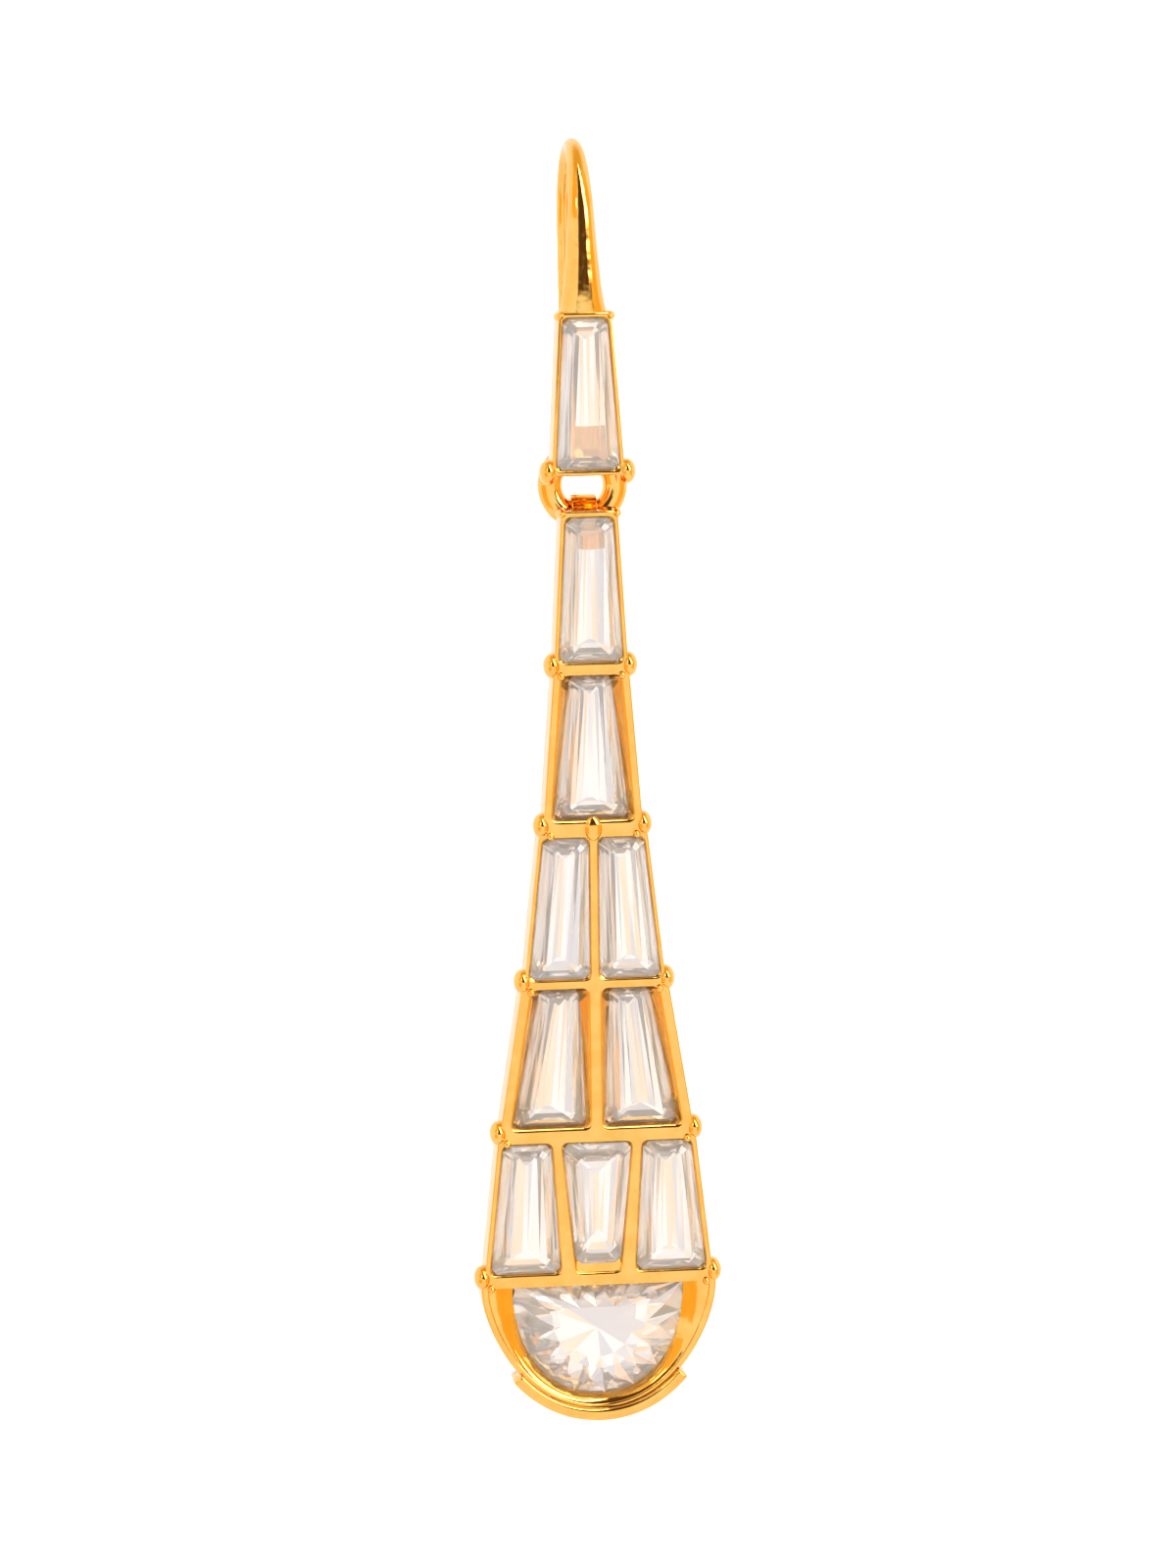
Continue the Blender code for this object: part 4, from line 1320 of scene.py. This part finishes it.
# %% [markdown]
# ## Prong beads
#
# Where a cross bar ends, a bead of metal was pushed over the stones' corners: an oval knob
# on the rail with a smaller ball beside it on the face. They repeat at every bar, so
# Geometry Nodes place them: one point for each bead carries its size, and the tree puts a
# smooth sphere there, stretched to the bead's width, depth and height.

# %% Bead tree
BEAD_SIZE = "bead_size"
BALL_SEGMENTS = 24
BALL_RINGS = 14


def bead_tree():
    """Spheres on points, with named inputs for their sizes and their lean."""
    tree = bpy.data.node_groups.new("prong_beads", "GeometryNodeTree")
    face = tree.interface
    face.new_socket("Geometry", in_out="INPUT", socket_type="NodeSocketGeometry")
    for name in ("Bead width", "Bead depth", "Bead height"):
        face.new_socket(name, in_out="INPUT", socket_type="NodeSocketFloat")
    face.new_socket("Lean", in_out="INPUT", socket_type="NodeSocketVector")
    face.new_socket("Finish", in_out="INPUT", socket_type="NodeSocketMaterial")
    face.new_socket("Geometry", in_out="OUTPUT", socket_type="NodeSocketGeometry")
    wiring = Wiring(tree)
    start = wiring.node("NodeGroupInput")
    ball = wiring.node("GeometryNodeMeshUVSphere")
    set_input(ball, "Segments", BALL_SEGMENTS)
    set_input(ball, "Rings", BALL_RINGS)
    set_input(ball, "Radius", 0.5)
    sizes = wiring.node("ShaderNodeCombineXYZ")
    for name, socket in zip(("Bead width", "Bead depth", "Bead height"), sizes.inputs):
        wiring.join(start.outputs[name], socket)
    own = wiring.node("GeometryNodeInputNamedAttribute", data_type="FLOAT_VECTOR")
    set_input(own, "Name", BEAD_SIZE)
    scaled = wiring.node("ShaderNodeVectorMath", operation="MULTIPLY")
    wiring.join(sizes.outputs[0], scaled.inputs[0])
    wiring.join(own.outputs["Attribute"], scaled.inputs[1])
    copies = wiring.node("GeometryNodeInstanceOnPoints")
    wiring.join(start.outputs["Geometry"], copies.inputs["Points"])
    wiring.join(ball.outputs["Mesh"], copies.inputs["Instance"])
    wiring.join(scaled.outputs[0], copies.inputs["Scale"])
    wiring.join(start.outputs["Lean"], copies.inputs["Rotation"])
    real = wiring.node("GeometryNodeRealizeInstances")
    wiring.join(copies.outputs["Instances"], real.inputs["Geometry"])
    smooth = wiring.node("GeometryNodeSetShadeSmooth")
    wiring.join(real.outputs["Geometry"], smooth.inputs["Geometry"])
    coat = wiring.node("GeometryNodeSetMaterial")
    wiring.join(smooth.outputs["Geometry"], coat.inputs["Geometry"])
    wiring.join(start.outputs["Finish"], coat.inputs["Material"])
    end = wiring.node("NodeGroupOutput")
    wiring.join(coat.outputs["Geometry"], end.inputs["Geometry"])
    return tree


def place_beads(name, beads, place, lean_angle, body, tree):
    """One object of beads for one body."""
    mesh = bpy.data.meshes.new(name)
    mesh.from_pydata([place @ Vector((b.x, b.y, b.z)) for b in beads], [], [])
    sizes = mesh.attributes.new(BEAD_SIZE, "FLOAT_VECTOR", "POINT")
    for item, bead in zip(sizes.data, beads):
        item.vector = bead.size
    piece = bpy.data.objects.new(name, mesh)
    scene.collection.objects.link(piece)
    modifier = piece.modifiers.new("beads", "NODES")
    modifier.node_group = tree
    values = {
        "Bead width": BEAD_WIDTH, "Bead depth": BEAD_DEPTH, "Bead height": BEAD_HEIGHT,
        "Lean": (lean_angle, 0.0, 0.0), "Finish": gold,
    }
    for item in tree.interface.items_tree:
        if item.in_out == "INPUT" and item.name in values:
            modifier[item.identifier] = values[item.name]
    make_plain(piece)
    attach(piece, body)
    print(name, "has", len(piece.data.polygons), "faces")


# %% [markdown]
# The bead list follows the bars. A full bead has size one each way, and the little balls are
# shares of it.

# %% Beads in place
FULL_SIZE = (1, 1, 1)
SMALL_SIZE = (SMALL_BEAD / BEAD_WIDTH, 1.0, SMALL_BEAD / BEAD_HEIGHT)
BALL_SIZE = (0.44, 0.31, 0.32)
MIDDLE_SIZE = (1.0, 0.33, 1.0)
BEAD_INSIDE = 0.33
FOOT_BEAD_INSIDE = 0.16
BALL_ASIDE = 0.0003
BALL_PROUD = 0.00002
MIDDLE_SUNK = 0.00008


def pair(x, z, y, size):
    """Two beads, one on each side."""
    return [Bead(side * x, y, z, size) for side in (-1, 1)]


bead_y = FACE - BEAD_PROUD + BEAD_DEPTH / 2
ear_beads = pair(
    TOP_HEAD_WIDTH / 2 - BEAD_OUT, -HOOK_FALL - BEAD_INSIDE * SMALL_BEAD, bead_y, SMALL_SIZE
)
ear_beads += pair(
    TOP_FOOT_WIDTH / 2 + 2 * BEAD_OUT, TOP_FOOT_Z + FOOT_BEAD_INSIDE * BEAD_HEIGHT,
    bead_y, FULL_SIZE,
)
frame_beads = pair(
    ROWS[0].head * DROP_WIDTH / 2 - BEAD_OUT,
    RING_RADIUS - DROP_BELOW_RING - DROP_HEAD_BAR + BEAD_INSIDE * SMALL_BEAD,
    bead_y, SMALL_SIZE,
)
for half, z in drop_beads:
    frame_beads += pair(half + BEAD_OUT, z + BEAD_LIFT, bead_y, FULL_SIZE)
    frame_beads += pair(half - BALL_ASIDE, z - BALL_ASIDE, FACE - BALL_PROUD, BALL_SIZE)
frame_beads.append(Bead(0, FACE + MIDDLE_SUNK, drop_beads[1][1], MIDDLE_SIZE))
tree = bead_tree()
place_beads("gold_ear_beads", ear_beads, ear_place, 0.0, "ear_piece", tree)
place_beads("gold_drop_beads", frame_beads, drop_place, DROP_LEAN, "drop", tree)
